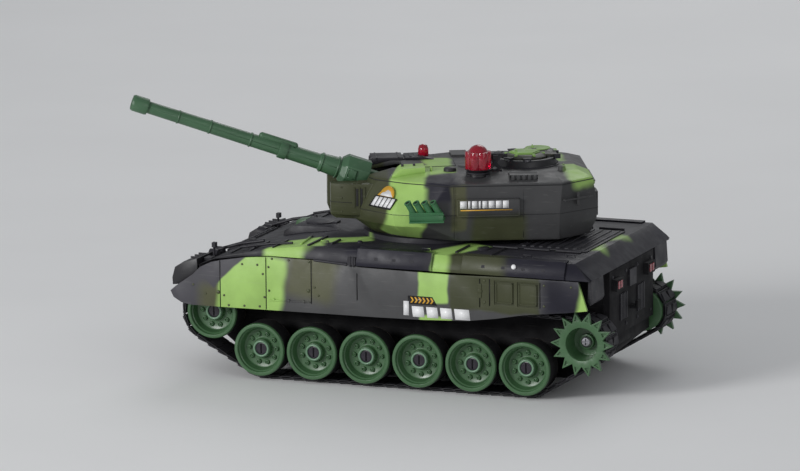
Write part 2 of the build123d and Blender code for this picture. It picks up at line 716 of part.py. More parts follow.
def lamp_pod():
    """The twin lamp housing on the right of the roof."""
    low = turret_edge_z - 0.9
    front = block(16.0, 35.0, -31.0, -13.5, low - 3.0, low + 6.2)
    rear = prism_across([(14.6, low), (14.6, low + 6.0), (4.0, low + 6.4), (-3.0, low + 4.6), (-3.0, low)], -30.0, -13.5)
    return front + rear + block(14.0, 17.0, -29.0, -14.5, low + 0.6, low + 5.4)


def vent_block():
    low = turret_edge_z - 1.2
    base = block(-60.0, -43.0, 38.0, 48.0, low, low + 5.4)
    ribs = [block(-59.0 + 3.3 * i, -57.2 + 3.3 * i, 47.8, 49.0, low + 0.2, low + 5.0) for i in range(5)]
    return base + ribs


def turret_board():
    """The light and infrared receiver board on posts."""
    board = block(-62.0, -36.0, -30.0, 2.0, 108.0, 109.6)
    posts = [rod_up(x, y, 2.2, turret_low_z + 1.8, 108.0) for x in (-58.0, -40.0) for y in (-26.0, -2.0)]
    return board + posts + block(-56.0, -44.0, -20.0, -8.0, 109.6, 112.0)


def elevation_motor():
    """The small motor and crank disc that raise the gun."""
    can = rod_across(crank_x, crank_height, 6.0, -22.0, -2.0)
    saddle = block(crank_x - 7.0, crank_x + 7.0, -20.0, -6.0, turret_low_z + 1.8, crank_height - 4.0)
    return can + saddle + rod_across(crank_x, crank_height, 5.0, -2.0, 1.0)


def turret_screws():
    spots = [(-80.0, -28.0), (-80.0, 28.0), (-55.0, -40.0), (-55.0, 40.0)]
    return [turned_up([(0, 86.7), (2.6, 86.9), (2.6, turret_low_z), (0, turret_low_z)], x, y) for x, y in spots]


# ---- gun ----
def octagon(flats):
    reach = flats / 2 / cos(pi / 8)
    return [(reach * cos(pi / 8 + i * pi / 4), reach * sin(pi / 8 + i * pi / 4)) for i in range(8)]


def gun_root():
    """The octagonal mantlet on its cradle arm, with the hub that swings on the trunnion pin."""
    root = prism_along(octagon(gun_root_flats), gun_root_start, gun_root_end)
    large = make_face(Polyline(*[(gun_root_end, y, z) for y, z in octagon(gun_root_flats)], close=True))
    small = make_face(Polyline(*[(sleeve_start, y, z) for y, z in octagon(13.4)], close=True))
    taper = loft([large, small], ruled=True)
    badge_y = gun_root_flats / 2
    badge = [block(gun_root_end - 6.5, gun_root_end - 0.8, y - 0.6, y + 0.5, -2.9, 2.9) for y in (-badge_y, badge_y)]
    arm = block(0, gun_root_start + 1, -5.0, 5.0, -4.5, 4.5)
    hub = rod_across(0, 0, 6.0, -7.4, 7.4)
    bore = rod_across(0, 0, trunnion_pin_radius + running_clearance, -20, 20)
    return root + [taper, arm, hub] + badge - bore


def gun_barrel():
    """The stepped barrel with its collar, bore light tube and the sight rail on top."""
    outer = [(sleeve_start, 0), (sleeve_start, 6.3), (69.0, 5.5), (69.8, 4.8), (90.0, 4.6), (90.0, 5.4),
             (95.0, 5.4), (95.0, 4.2), (178.0, 3.7), (178.0, 0)]
    rail = rod_along(86.5, 107.0, 2.1, 0, 4.6) + [Pos(x, 0, 4.6) * Sphere(2.1) for x in (86.5, 107.0)]
    return turned_along(outer) + rail


def muzzle():
    profile = [(178.0, 0), (178.0, 4.7), (179.0, 5.0), (186.6, 5.0), (barrel_length, 4.4), (barrel_length, 3.0),
               (182.0, 3.0), (182.0, 0)]
    return turned_along(profile)


def muzzle_lens():
    return turned_along([(182.0, 0), (182.0, 2.9), (185.4, 2.9), (186.8, 2.2), (187.4, 0)])


def trunnion_pin():
    return rod_across(trunnion_x, trunnion_z, trunnion_pin_radius, -11.1, 11.1)


# ---- write every piece ----
for i in range(wheels_per_side):
    wheel = road_wheel(first_wheel_x - i * wheel_pitch, wheel_height, 0)
    write(f"left_road_wheel_{i + 1}", wheel)
    write(f"right_road_wheel_{i + 1}", other_side(wheel))
idler = road_wheel(idler_x, idler_height, idler_inboard)
drive_sprocket = sprocket()
output_shaft = sprocket_shaft()
belt = track()
for side, turned in (("left", lambda shape: shape), ("right", other_side)):
    write(f"{side}_idler", turned(idler))
    write(f"{side}_sprocket", turned(drive_sprocket))
    write(f"{side}_sprocket_shaft", turned(output_shaft))
    write(f"{side}_track", turned(belt))

inboards = [0] * wheels_per_side + [idler_inboard]
caps = [hub_cap(x, z, inboard) for (x, z, end), inboard in zip(axle_places(), inboards)]
pins = [axle_pin(x, z, inboard) for (x, z, end), inboard in zip(axle_places(), inboards)]
write("hub_caps", *caps, *[other_side(cap) for cap in caps])
write("axle_pins", *pins, *[other_side(pin) for pin in pins])
pairs = {
    "side_skirts": skirt(),
    "mudguards": mudguard(),
    "fender_bins": fender_box(),
    "gearboxes": gearbox(),
    "drive_motors": drive_motor(),
}
for name, shape in pairs.items():
    write(name, shape, other_side(shape))
write("upper_hull", upper_hull())
write("lower_hull", lower_hull() + tail_panel())
write("hull_screws", *[hull_screw(x, y) for x, y in hull_screw_places])
write("engine_grille", engine_grille())
write("driver_periscope", periscope())
write("battery_pack", battery_pack())
write("battery_door", battery_door())
write("control_board", control_board())
write("speaker", speaker())
write("power_switch_case", power_switch_case())
write("power_switch_knob", power_switch_knob())
write("turret_ring_gear", ring_gear())
write("turret_pinion", turret_pinion())
write("turret_motor", turret_motor())

casting = turret_outside()
launcher = smoke_launcher() - casting
turret_pieces = {
    "turret_shell": [turret_shell()],
    "turret_base": [turret_base()],
    "smoke_launchers": [launcher, other_side(launcher)],
    "alarm_lamp": [alarm_lamp()],
    "lamp_base": [lamp_base() - casting],
    "hatch_rings": [cupola_ring(), loader_hatch()],
    "commander_hatch": [commander_hatch()],
    "machine_gun_crutch": [gun_crutch() - casting],
    "gunner_sight": [sight_box() - casting],
    "lamp_pod": [lamp_pod() - casting],
    "roof_vent": [vent_block() - casting],
    "turret_board": [turret_board()],
    "elevation_motor": [elevation_motor()],
    "turret_screws": turret_screws(),
    "trunnion_pin": [trunnion_pin()],
}
for name, shapes in turret_pieces.items():
    write(name, *[on_turret(shape) for shape in shapes])
gun_pieces = {"gun_root": gun_root(), "gun_barrel": gun_barrel(), "muzzle": muzzle(), "muzzle_lens": muzzle_lens()}
for name, shape in gun_pieces.items():
    write(name, on_gun(shape))
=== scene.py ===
"""Looks for a radio-controlled battle tank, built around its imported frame.

Builders draw in millimetres: +X forward, +Y left, +Z up. Turret pieces are drawn in the turret's own axes,
and gun pieces along the gun, with the trunnion at the origin. MM turns them into the frame's metres.
"""

import json
from math import acos, atan2, cos, hypot, pi, radians, sin, tau

import bmesh
import bpy
from mathutils import Matrix, Vector


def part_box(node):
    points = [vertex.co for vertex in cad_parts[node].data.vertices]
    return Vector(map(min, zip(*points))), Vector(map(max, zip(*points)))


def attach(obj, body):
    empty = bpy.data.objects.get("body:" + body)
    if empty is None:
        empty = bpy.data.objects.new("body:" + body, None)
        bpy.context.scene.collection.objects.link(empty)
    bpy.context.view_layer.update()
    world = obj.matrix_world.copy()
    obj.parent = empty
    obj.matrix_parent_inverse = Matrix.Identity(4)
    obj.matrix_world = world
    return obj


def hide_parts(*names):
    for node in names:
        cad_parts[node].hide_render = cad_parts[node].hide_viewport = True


MM = 0.001
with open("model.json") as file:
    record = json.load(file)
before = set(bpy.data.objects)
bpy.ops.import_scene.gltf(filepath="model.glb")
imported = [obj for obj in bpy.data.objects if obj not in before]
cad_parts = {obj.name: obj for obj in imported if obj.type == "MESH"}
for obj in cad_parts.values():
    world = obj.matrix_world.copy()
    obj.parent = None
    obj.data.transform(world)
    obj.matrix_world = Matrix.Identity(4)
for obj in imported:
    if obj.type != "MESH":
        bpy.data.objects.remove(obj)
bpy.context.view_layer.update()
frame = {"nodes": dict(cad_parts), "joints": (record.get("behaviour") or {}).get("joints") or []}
nodes = frame["nodes"]
joints = {joint["name"]: joint for joint in frame["joints"]}


def box_mm(node):
    low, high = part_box(node)
    return low / MM, high / MM


def centre_mm(node):
    low, high = box_mm(node)
    return (low + high) / 2


# ---- places read from the frame ----
gun_axis = Vector(joints["gun_elevation"]["axis"])
trunnion = Vector(joints["gun_elevation"]["pos_m"]) / MM
turret_turn = atan2(gun_axis.x, -gun_axis.y)
aim = centre_mm("muzzle") - trunnion
gun_raise = atan2(aim.z, hypot(aim.x, aim.y))
IN_HULL = Matrix.Identity(4)
IN_TURRET = Matrix.Rotation(turret_turn, 4, "Z")
IN_GUN = Matrix.Translation(trunnion) @ IN_TURRET @ Matrix.Rotation(-gun_raise, 4, "Y")
DRAWN_IN = {"hull": IN_HULL, "turret": IN_TURRET, "commander_hatch": IN_TURRET, "gun": IN_GUN}

wheel_radius = (box_mm("left_road_wheel_1")[1].x - box_mm("left_road_wheel_1")[0].x) / 2
skirt_face = box_mm("side_skirts")[1].y
collar_top = box_mm("upper_hull")[1].z
deck_z = collar_top - 2.9
roof_z = box_mm("hatch_rings")[0].z
tail_x = box_mm("upper_hull")[0].x
left_wheels = [f"left_road_wheel_{i + 1}" for i in range(6)]
undriven = left_wheels + ["left_idler"]


# ---- drawing ----
def spot(axis, along, a, b):
    return {"X": (along, a, b), "Y": (a, along, b), "Z": (a, b, along)}[axis]


def add_object(name, data):
    obj = bpy.data.objects.new(name, data)
    bpy.context.scene.collection.objects.link(obj)
    return obj


class Drawing:
    """A mesh drawn shape by shape, in millimetres. Each shape returns its corners."""

    def __init__(self):
        self.bm = bmesh.new()

    def prism(self, outline, low, high, axis="Z"):
        """An outline of two coordinates, extruded from low to high along the third."""
        add = self.bm.verts.new
        ends = [[add(spot(axis, along, a, b)) for a, b in outline] for along in (low, high)]
        self.bm.faces.new(ends[0])
        self.bm.faces.new(ends[1][::-1])
        for i in range(len(outline)):
            j = (i + 1) % len(outline)
            self.bm.faces.new((ends[0][i], ends[0][j], ends[1][j], ends[1][i]))
        return ends[0] + ends[1]

    def block(self, low, high):
        outline = [(low[0], low[1]), (high[0], low[1]), (high[0], high[1]), (low[0], high[1])]
        return self.prism(outline, low[2], high[2])

    def turned(self, profile, centre=(0, 0, 0), axis="Y", segments=48, closed=False):
        """A profile of (radius, along) points turned about an axis through centre."""
        rings = []
        for radius, along in profile:
            turns = [tau * i / segments for i in range(segments)] if radius else [0.0]
            points = [spot(axis, along, radius * cos(turn), radius * sin(turn)) for turn in turns]
            rings.append([self.bm.verts.new(Vector(point) + Vector(centre)) for point in points])
        pairs = list(zip(rings, rings[1:])) + ([(rings[-1], rings[0])] if closed else [])
        for near, far in pairs:
            for i in range(segments):
                j = (i + 1) % segments
                corners = [near[i % len(near)], near[j % len(near)], far[j % len(far)], far[i % len(far)]]
                self.bm.faces.new(list(dict.fromkeys(corners)))
        return [vert for ring in rings for vert in ring]

    def upright(self, profile, x, y, segments=28, closed=False):
        """A profile of (radius, height) points turned about a vertical axis."""
        return self.turned(profile, (x, y, 0), "Z", segments, closed)

    def move(self, verts, matrix):
        bmesh.ops.transform(self.bm, matrix=matrix, verts=verts)
        return verts

    def stud(self, place, out, radius, height, segments=14):
        """A low round-headed rivet that stands out of a surface."""
        profile = [(radius, -0.2), (radius, height * 0.35), (radius * 0.72, height * 0.85), (0, height)]
        turn = Vector(out).to_track_quat("Z", "Y").to_matrix().to_4x4()
        return self.move(self.upright(profile, 0, 0, segments), Matrix.Translation(Vector(place)) @ turn)

    def rod(self, path, radius, segments=12):
        """A round bar that follows a list of points, with flat ends."""
        points = [Vector(point) for point in path]
        turns = [tau * k / segments for k in range(segments)]
        circle = [Vector((radius * cos(turn), radius * sin(turn), 0)) for turn in turns]
        rings = []
        for i, point in enumerate(points):
            heading = (points[min(i + 1, len(points) - 1)] - points[max(i - 1, 0)]).normalized()
            turn = heading.to_track_quat("Z", "Y").to_matrix()
            rings.append([self.bm.verts.new(point + turn @ edge) for edge in circle])
        self.bm.faces.new(rings[0])
        self.bm.faces.new(rings[-1][::-1])
        for near, far in zip(rings, rings[1:]):
            for i in range(segments):
                j = (i + 1) % segments
                self.bm.faces.new((near[i], near[j], far[j], far[i]))
        return [vert for ring in rings for vert in ring]

    def loop(self, place, size, height, radius):
        """A small handle: a bent bar on two feet, lying along x or y."""
        x, y, z = place
        dx, dy = size
        foot = z - 0.3
        top = z + height
        return self.rod([(x - dx, y - dy, foot), (x - dx, y - dy, top), (x + dx, y + dy, top),
                         (x + dx, y + dy, foot)], radius)

    def mirror(self):
        """Adds the mirror image across the tank."""
        copied = bmesh.ops.duplicate(self.bm,
                                     geom=self.bm.verts[:] + self.bm.edges[:] + self.bm.faces[:])["geom"]
        verts = [part for part in copied if isinstance(part, bmesh.types.BMVert)]
        bmesh.ops.scale(self.bm, vec=(1, -1, 1), verts=verts)

    def mesh(self, name, material, place=IN_HULL):
        """The finished drawing in metres, placed in the frame."""
        bmesh.ops.recalc_face_normals(self.bm, faces=self.bm.faces[:])
        self.bm.transform(Matrix.Scale(MM, 4) @ place)
        mesh = bpy.data.meshes.new(name)
        self.bm.to_mesh(mesh)
        self.bm.free()
        mesh.materials.append(material)
        return mesh


def soften(obj, bevel):
    """Rounds sharp edges and shades the rest smooth."""
    for polygon in obj.data.polygons:
        polygon.use_smooth = True
    if bevel:
        rounding = obj.modifiers.new("rounding", "BEVEL")
        rounding.width = bevel * MM
        rounding.segments = 2
        rounding.limit_method = "ANGLE"
        rounding.angle_limit = radians(30)
        rounding.harden_normals = True
        rounding.use_clamp_overlap = True


def piece(name, body, drawing, material, place=None, bevel=0.2, both=False):
    """Turns a drawing into a piece that rides on a body. both adds its mirror image across the tank."""
    if both:
        drawing.mirror()
    obj = add_object(name, drawing.mesh(name, material, place or DRAWN_IN[body]))
    soften(obj, bevel)
    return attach(obj, body)


# ---- materials ----
def colour(code):
    """An sRGB hex code as linear RGBA."""
    parts = [int(code[i:i + 2], 16) / 255 for i in (0, 2, 4)]
    return (*[c / 12.92 if c <= 0.04045 else ((c + 0.055) / 1.055) ** 2.4 for c in parts], 1.0)


class Graph:
    """A small writer of node materials round one Principled shader."""

    def __init__(self, name):
        self.material = bpy.data.materials.new(name)
        self.material.use_nodes = True
        self.tree = self.material.node_tree
        self.shader = self.tree.nodes["Principled BSDF"]
        self.point = self.add("ShaderNodeTexCoord").outputs["Object"]

    def add(self, kind, feeds=(), **settings):
        node = self.tree.nodes.new(kind)
        for key, value in settings.items():
            setattr(node, key, value)
        for key, value in dict(feeds).items():
            self.feed(node.inputs[key], value)
        return node

    def feed(self, socket, value):
        if isinstance(value, bpy.types.NodeSocket):
            self.tree.links.new(value, socket)
        else:
            socket.default_value = value

    def set(self, values):
        for key, value in values.items():
            self.feed(self.shader.inputs[key], value)

    def grey(self, value):
        return self.add("ShaderNodeCombineColor", {0: value, 1: value, 2: value}).outputs[0]

    def noise(self, scale, detail=2.0, stretch=None):
        """Noise with features of about 1/scale metres, from 0 to 1."""
        point = self.point
        if stretch:
            point = self.add("ShaderNodeMapping", {"Vector": point, "Scale": stretch}).outputs["Vector"]
        feeds = {"Vector": point, "Scale": scale, "Detail": detail}
        return self.add("ShaderNodeTexNoise", feeds).outputs["Fac"]

    def span(self, value, low, high, out_low=0.0, out_high=1.0):
        feeds = {"Value": value, "From Min": low, "From Max": high, "To Min": out_low, "To Max": out_high}
        return self.add("ShaderNodeMapRange", feeds, interpolation_type="SMOOTHSTEP").outputs["Result"]

    def mix(self, share, a, b, blend="MIX"):
        node = self.add("ShaderNodeMix", data_type="RGBA", blend_type=blend)
        self.feed(node.inputs[0], share)
        self.feed(node.inputs[6], a)
        self.feed(node.inputs[7], b)
        return node.outputs[2]

    def finish(self, base, roughness, grain=1.0, mottle=0.07, scuff=0.04, shine=0.5):
        """Mottled colour, fine scuffs, uneven gloss and a moulded grain over a base colour."""
        patchy = self.grey(self.span(self.noise(70, 3), 0.3, 0.7, 1 - mottle, 1 + mottle))
        scratch = self.span(self.noise(260, 2, (0.25, 1.0, 3.2)), 0.62, 0.72, 0.0, scuff)
        peel = self.add("ShaderNodeBump",
                        {"Height": self.noise(420, 2), "Strength": 0.35 * grain, "Distance": 0.0001})
        fine = self.add("ShaderNodeBump",
                        {"Height": self.noise(2600, 1), "Strength": 0.4 * grain, "Distance": 0.00006,
                         "Normal": peel.outputs["Normal"]})
        tinted = self.mix(1.0, base, patchy, "MULTIPLY")
        uneven = self.span(self.noise(120, 3), 0.25, 0.75, roughness - 0.07, roughness + 0.09)
        self.set({"Specular IOR Level": shine, "Base Color": self.mix(scratch, tinted, colour("b8b8b0")),
                  "Roughness": uneven, "Normal": fine.outputs["Normal"]})
        return self.material


def plastic(name, code, roughness=0.42, **kwargs):
    graph = Graph(name)
    return graph.finish(colour(code), roughness, **kwargs)


def metal(name, code, roughness=0.3):
    graph = Graph(name)
    graph.set({"Metallic": 1.0})
    return graph.finish(colour(code), roughness, grain=0.5, mottle=0.05, scuff=0.3)


def lens(name, code, roughness=0.08, through=0.85, glow=0.0):
    """Clear tinted plastic with faint flow marks."""
    graph = Graph(name)
    graph.set({"Transmission Weight": through, "IOR": 1.49, "Coat Weight": 0.4,
               "Emission Color": colour(code), "Emission Strength": glow})
    return graph.finish(colour(code), roughness + 0.08, grain=0.25, mottle=0.05, scuff=0.03)


def camouflage(name, base, patches, turned=0.0, symmetric=True):
    """Sprayed patches on moulded plastic: code, centre, half size, soft edge and, if any, turn in degrees."""
    graph = Graph(name)

    def maths(operation, *feeds):
        node = graph.add("ShaderNodeVectorMath", dict(enumerate(feeds)), operation=operation)
        return node.outputs["Vector"]

    point = graph.add("ShaderNodeVectorRotate",
                      {"Vector": graph.point, "Axis": (0, 0, 1), "Angle": -turned},
                      rotation_type="AXIS_ANGLE").outputs["Vector"]
    point = maths("MULTIPLY", point, (1 / MM, 1 / MM, 1 / MM))
    if symmetric:
        parts = graph.add("ShaderNodeSeparateXYZ", {0: point}).outputs
        flipped = graph.add("ShaderNodeSeparateXYZ", {0: maths("ABSOLUTE", point)}).outputs
        point = graph.add("ShaderNodeCombineXYZ", {0: parts[0], 1: flipped[1], 2: parts[2]}).outputs[0]
    warp = 5.0
    feeds = {"Vector": graph.point, "Scale": 55.0, "Detail": 2.0}
    ragged = graph.add("ShaderNodeTexNoise", feeds).outputs["Color"]
    bent = maths("MULTIPLY_ADD", maths("SUBTRACT", ragged, (0.5, 0.5, 0.5)), (warp, warp, warp), point)

    def soft_box(centre, half, soft, turn):
        """1 inside a turned, rounded box, falling smoothly to 0 over its soft edge."""
        feeds = {"Vector": maths("SUBTRACT", bent, centre), "Rotation": turn}
        inside = graph.add("ShaderNodeVectorRotate", feeds, rotation_type="EULER_XYZ", invert=True)
        past = maths("SUBTRACT", maths("ABSOLUTE", inside.outputs["Vector"]), half)
        past = {0: maths("MAXIMUM", past, (0, 0, 0))}
        distance = graph.add("ShaderNodeVectorMath", past, operation="LENGTH").outputs["Value"]
        return graph.span(distance, 0.0, soft, 1.0, 0.0)

    result = colour(base)
    for code, centre, half, soft, *turn in patches:
        inner = tuple(max(h - soft / 2, 0.0) for h in half)
        turn = tuple(radians(t) for t in (turn[0] if turn else (0, 0, 0)))
        result = graph.mix(soft_box(centre, inner, soft, turn), result, colour(code))
    return graph.finish(result, 0.44, shine=0.25)


LIGHT_GREEN = "9cc069"
OLIVE = "54553f"
DARK_OLIVE = "41442f"
GREY = "4b4b4c"
CHARCOAL = "47464b"
DUSK = "22212b"
BLACKISH = "222125"
# deck grey: dark paint, darkened further as painted shade between the turret and the fenders
DECK_GREY_AND_SHADE = "2d2c32"
# turret grey, set darker than the hull's grey: grey paint with painted shade over the whole turret
TURRET_GREY_AND_SHADE = "444445"

hull_patches = [
    (CHARCOAL, (140, 70, 60), (32, 30, 30), 10),
    (OLIVE, (113, 68, 50), (9, 12, 8), 9),
    (LIGHT_GREEN, (88.0, 68, 58), (21.0, 12, 21), 5, (0, -9, 0)),
    (LIGHT_GREEN, (92, 68, 54), (17, 12, 14), 2),
    (CHARCOAL, (110, 68, 75), (15, 12, 12), 1.5, (0, 42, 0)),
    (OLIVE, (49, 68, 67), (15.5, 12, 14), 9, (0, -10, 0)),
    (LIGHT_GREEN, (-29, 68, 66), (9.5, 12, 9.5), 2),
    (LIGHT_GREEN, (-30, 68, 44), (10, 12, 3.4), 2),
    (DARK_OLIVE, (-68, 68, 66), (28.5, 12, 13), 2.5),
    (DUSK, (-112, 68, 66), (14, 12, 14), 12),
    (LIGHT_GREEN, (-127, 68, 66), (6, 12, 13), 4, (0, -12, 0)),
]
deck_patches = [
    (BLACKISH, (122, 30, 66), (34, 60, 20), 14),
    (LIGHT_GREEN, (67.5, 70, 80), (12.5, 7, 7), 5),
    (LIGHT_GREEN, (62, 56, 84), (13, 15, 8), 5, (0, 0, 24)),
    (LIGHT_GREEN, (44, 46, 86), (22, 7, 8), 4, (0, 0, 30)),
    (DUSK, (2, 68, 80), (26, 10, 8), 5),
    (LIGHT_GREEN, (-35.5, 68, 80), (7.6, 9, 9), 3),
    (LIGHT_GREEN, (-36, 50, 86), (9, 20, 8), 5, (0, 0, -22)),
    (DARK_OLIVE, (-57, 68, 80), (19, 9, 9), 5),
    (DUSK, (-100, 68, 80), (26, 9, 9), 9),
    (LIGHT_GREEN, (-96, 6, 86), (14, 26, 8), 7, (0, 0, 28)),
]
turret_patches = [
    (DARK_OLIVE, (48, 0, 108), (20, 60, 30), 4),
    (LIGHT_GREEN, (19, 46, 100), (11.5, 20, 22), 3, (0, -14, 0)),
    (LIGHT_GREEN, (14, 26, 124), (11, 22, 12), 3, (0, 0, -18)),
    (DUSK, (-2, 52, 120), (9.5, 16, 8.5), 5),
    (OLIVE, (-12, 56, 108), (4.5, 12, 14), 3),
    (DARK_OLIVE, (-36, 54, 95), (16, 12, 9), 6),
    (LIGHT_GREEN, (-4, 8, 130), (8, 26, 8), 4),
    (LIGHT_GREEN, (-73, -14, 130), (8, 16, 9), 4),
    (LIGHT_GREEN, (-92, 30, 124), (14, 18, 7), 5),
]

hull_camouflage = camouflage("hull_camouflage", GREY, hull_patches)
deck_camouflage = camouflage("deck_camouflage", DECK_GREY_AND_SHADE, deck_patches)
turret_camouflage = camouflage("turret_camouflage", TURRET_GREY_AND_SHADE, turret_patches, turret_turn,
                               symmetric=False)
green_plastic = plastic("green_plastic", "416341", 0.34)
gun_green = plastic("gun_green", "3f6145", 0.38)
# near-black lower hull: dark plastic, darkened further as painted shade under the hull and behind the wheels
hull_black_and_shade = plastic("hull_black_and_shade", "121114", 0.7, scuff=0.02, shine=0.25)
tyre_black = plastic("tyre_black", "1f1e20", 0.62, grain=1.4)
parting_line = plastic("parting_line", "6a5a4c", 0.6)
track_rubber = plastic("track_rubber", "222126", 0.6, grain=1.6, scuff=0.05)
dark_plastic = plastic("dark_plastic", "2d2c31", 0.45, shine=0.3)
hub_purple = plastic("hub_purple", "201b25", 0.3)
ring_green = plastic("ring_green", "6a8a70", 0.3)
bare_steel = metal("bare_steel", "c9c9cc", 0.28)
grey_nylon = plastic("grey_nylon", "cfccc0", 0.5)
film_blue = plastic("film_blue", "2c5a8c", 0.25)
board_green = plastic("board_green", "1f5a35", 0.3)
speaker_black = plastic("speaker_black", "1c1c1e", 0.7)
red_lens = lens("red_lens", "b81030", 0.05, 0.6, 0.05)
clear_lens = lens("clear_lens", "f0dcd0")
smoke_lens = lens("smoke_lens", "d8d8e0")
mark_white = plastic("mark_white", "e9e9ea", 0.35, grain=0.3)
mark_yellow = plastic("mark_yellow", "d9a536", 0.35, grain=0.3)
mark_black = plastic("mark_black", "1d1c1e", 0.35, grain=0.3)
rivet_olive = plastic("rivet_olive", "45492f", 0.4)
# painted shade: near-black for the bottoms of seams, joint lines, gaps between ribs, vent slots, tube bores
# and the inside of the red lamp
painted_shade_dark = plastic("painted_shade_dark", "1a1a1c", 0.55)
black_plastic = plastic("black_plastic", "1f1e22", 0.42)
# dark olive of the commander's lid below its light-green top: olive plastic with painted shade on the sloping
# sides
lid_olive_and_shade = plastic("lid_olive_and_shade", "33342a", 0.45)
dull_steel = metal("dull_steel", "8c8c90", 0.36)
launcher_green = plastic("launcher_green", "356b43", 0.38)
lid_green = plastic("lid_green", "88ad5c", 0.42)


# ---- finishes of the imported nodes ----
def finish_node(name, material, bevel):
    obj = nodes[name]
    obj.data.materials.clear()
    obj.data.materials.append(material)
    if bevel:
        join = obj.modifiers.new("join", "WELD")
        join.merge_threshold = 0.005 * MM
    soften(obj, bevel)


node_finishes = {
    deck_camouflage: ["upper_hull", "fender_bins"],
    hull_camouflage: ["side_skirts"],
    turret_camouflage: ["turret_shell", "gunner_sight", "roof_vent"],
    gun_green: ["gun_root", "gun_barrel", "muzzle"],
    launcher_green: ["smoke_launchers"],
    black_plastic: ["hatch_rings", "mudguards", "lamp_base"],
    lid_olive_and_shade: ["commander_hatch"],
    green_plastic: ["left_sprocket", "right_sprocket", "driver_periscope"],
    hull_black_and_shade: ["lower_hull"],
    dark_plastic: ["engine_grille", "lamp_pod", "machine_gun_crutch", "battery_door",
                   "power_switch_knob", "turret_base"],
    hub_purple: ["hub_caps"],
    red_lens: ["alarm_lamp"],
    clear_lens: ["muzzle_lens"],
    bare_steel: ["axle_pins", "hull_screws", "turret_screws", "trunnion_pin", "drive_motors", "turret_motor",
                 "elevation_motor"],
    dull_steel: ["left_sprocket_shaft", "right_sprocket_shaft"],
    grey_nylon: ["gearboxes", "power_switch_case", "turret_ring_gear", "turret_pinion"],
    film_blue: ["battery_pack"],
    board_green: ["control_board", "turret_board"],
    speaker_black: ["speaker"],
}
fine_nodes = {"turret_ring_gear": 0.0, "turret_pinion": 0.0, "alarm_lamp": 0.5, "upper_hull": 0.3,
              "turret_shell": 0.5, "side_skirts": 0.15}
for material, names in node_finishes.items():
    for name in names:
        finish_node(name, material, fine_nodes.get(name, 0.2))


# ---- road wheels and idlers ----
def wheel_meshes():
    """A wheel's green disc, pale hub ring, black tyre and its parting line, with the rim's face at y = 0."""
    r = wheel_radius
    rim_segments = 72
    disc = Drawing()
    profile = [
        (2.1, -17.4), (5.0, -17.4), (5.0, -12.5), (13.4, -12.5), (13.4, -15.2), (r - 1.2, -15.2),
        (r - 1.2, -1.9), (r, -1.9), (r, -0.9), (r - 0.5, -0.1), (r - 1.2, 0.0), (14.1, 0.0), (13.7, -0.5),
        (13.6, -1.6), (12.9, -2.2), (12.5, -4.4), (11.9, -6.4), (11.2, -6.8), (7.2, -7.3), (6.4, -7.2),
        (5.9, -6.7), (5.5, -4.1), (3.95, -4.1), (3.95, -6.5), (2.1, -6.5),
    ]
    disc.turned(profile, segments=rim_segments, closed=True)
    bolts = 10
    for i in range(bolts):
        turn = tau * i / bolts
        place = Vector((8.9 * cos(turn), -7.15, 8.9 * sin(turn)))
        collar = [(1.5, -0.3), (1.5, 0.9), (1.2, 1.35), (0.85, 1.4), (0.75, 0.8), (0.45, 0.8), (0.4, 1.3),
                  (0, 1.4)]
        disc.turned(collar, place, segments=14)
    ring = Drawing()
    ring.turned([(3.8, -4.2), (5.2, -4.2), (5.1, -3.4), (4.7, -3.05), (4.2, -3.05), (3.8, -3.4)],
                closed=True)
    tyre = Drawing()
    tyre.turned([(r - 1.25, -14.8), (r, -14.8), (r, -2.3), (r - 0.2, -2.0), (r - 1.25, -2.0)],
                segments=rim_segments, closed=True)
    line = Drawing()
    line.turned([(r - 1.25, -15.3), (r - 0.3, -15.3), (r - 0.02, -14.8), (r - 1.25, -14.8)],
                segments=rim_segments, closed=True)
    return {"disc": (disc, green_plastic, 0.18), "ring": (ring, ring_green, 0.0),
            "tyre": (tyre, tyre_black, 0.2), "line": (line, parting_line, 0.0)}


def make_wheels():
    meshes = {}
    for part, (drawing, material, bevel) in wheel_meshes().items():
        meshes[part] = (drawing.mesh(f"wheel_{part}", material), bevel)
    for side, turn in (("left", 0.0), ("right", pi)):
        for i, node in enumerate(undriven):
            name = node.replace("left", side)
            low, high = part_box(name)
            face = high.y if side == "left" else low.y
            place = Vector(((low.x + high.x) / 2, face, (low.z + high.z) / 2))
            spin = Matrix.Rotation(pi / 2 * (i % 4), 4, "Y")
            for part, (mesh, bevel) in meshes.items():
                obj = add_object(f"{name}_{part}", mesh)
                obj.matrix_world = Matrix.Translation(place) @ Matrix.Rotation(turn, 4, "Z") @ spin
                soften(obj, bevel)
                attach(obj, name)
                if part == "disc":
                    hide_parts(name)


make_wheels()


# ---- tracks ----
def belt_stations():
    """Circles that the belt's inner face runs round, in order: (x, z, radius)."""
    first = centre_mm(left_wheels[0])
    last = centre_mm(left_wheels[-1])
    idler = centre_mm("left_idler")
    sprocket = centre_mm("left_sprocket_shaft")
    return [(last.x, last.z, wheel_radius + 0.35), (first.x, first.z, wheel_radius + 0.35),
            (idler.x, idler.z, wheel_radius + 0.4), (sprocket.x, sprocket.z, 13.0)]


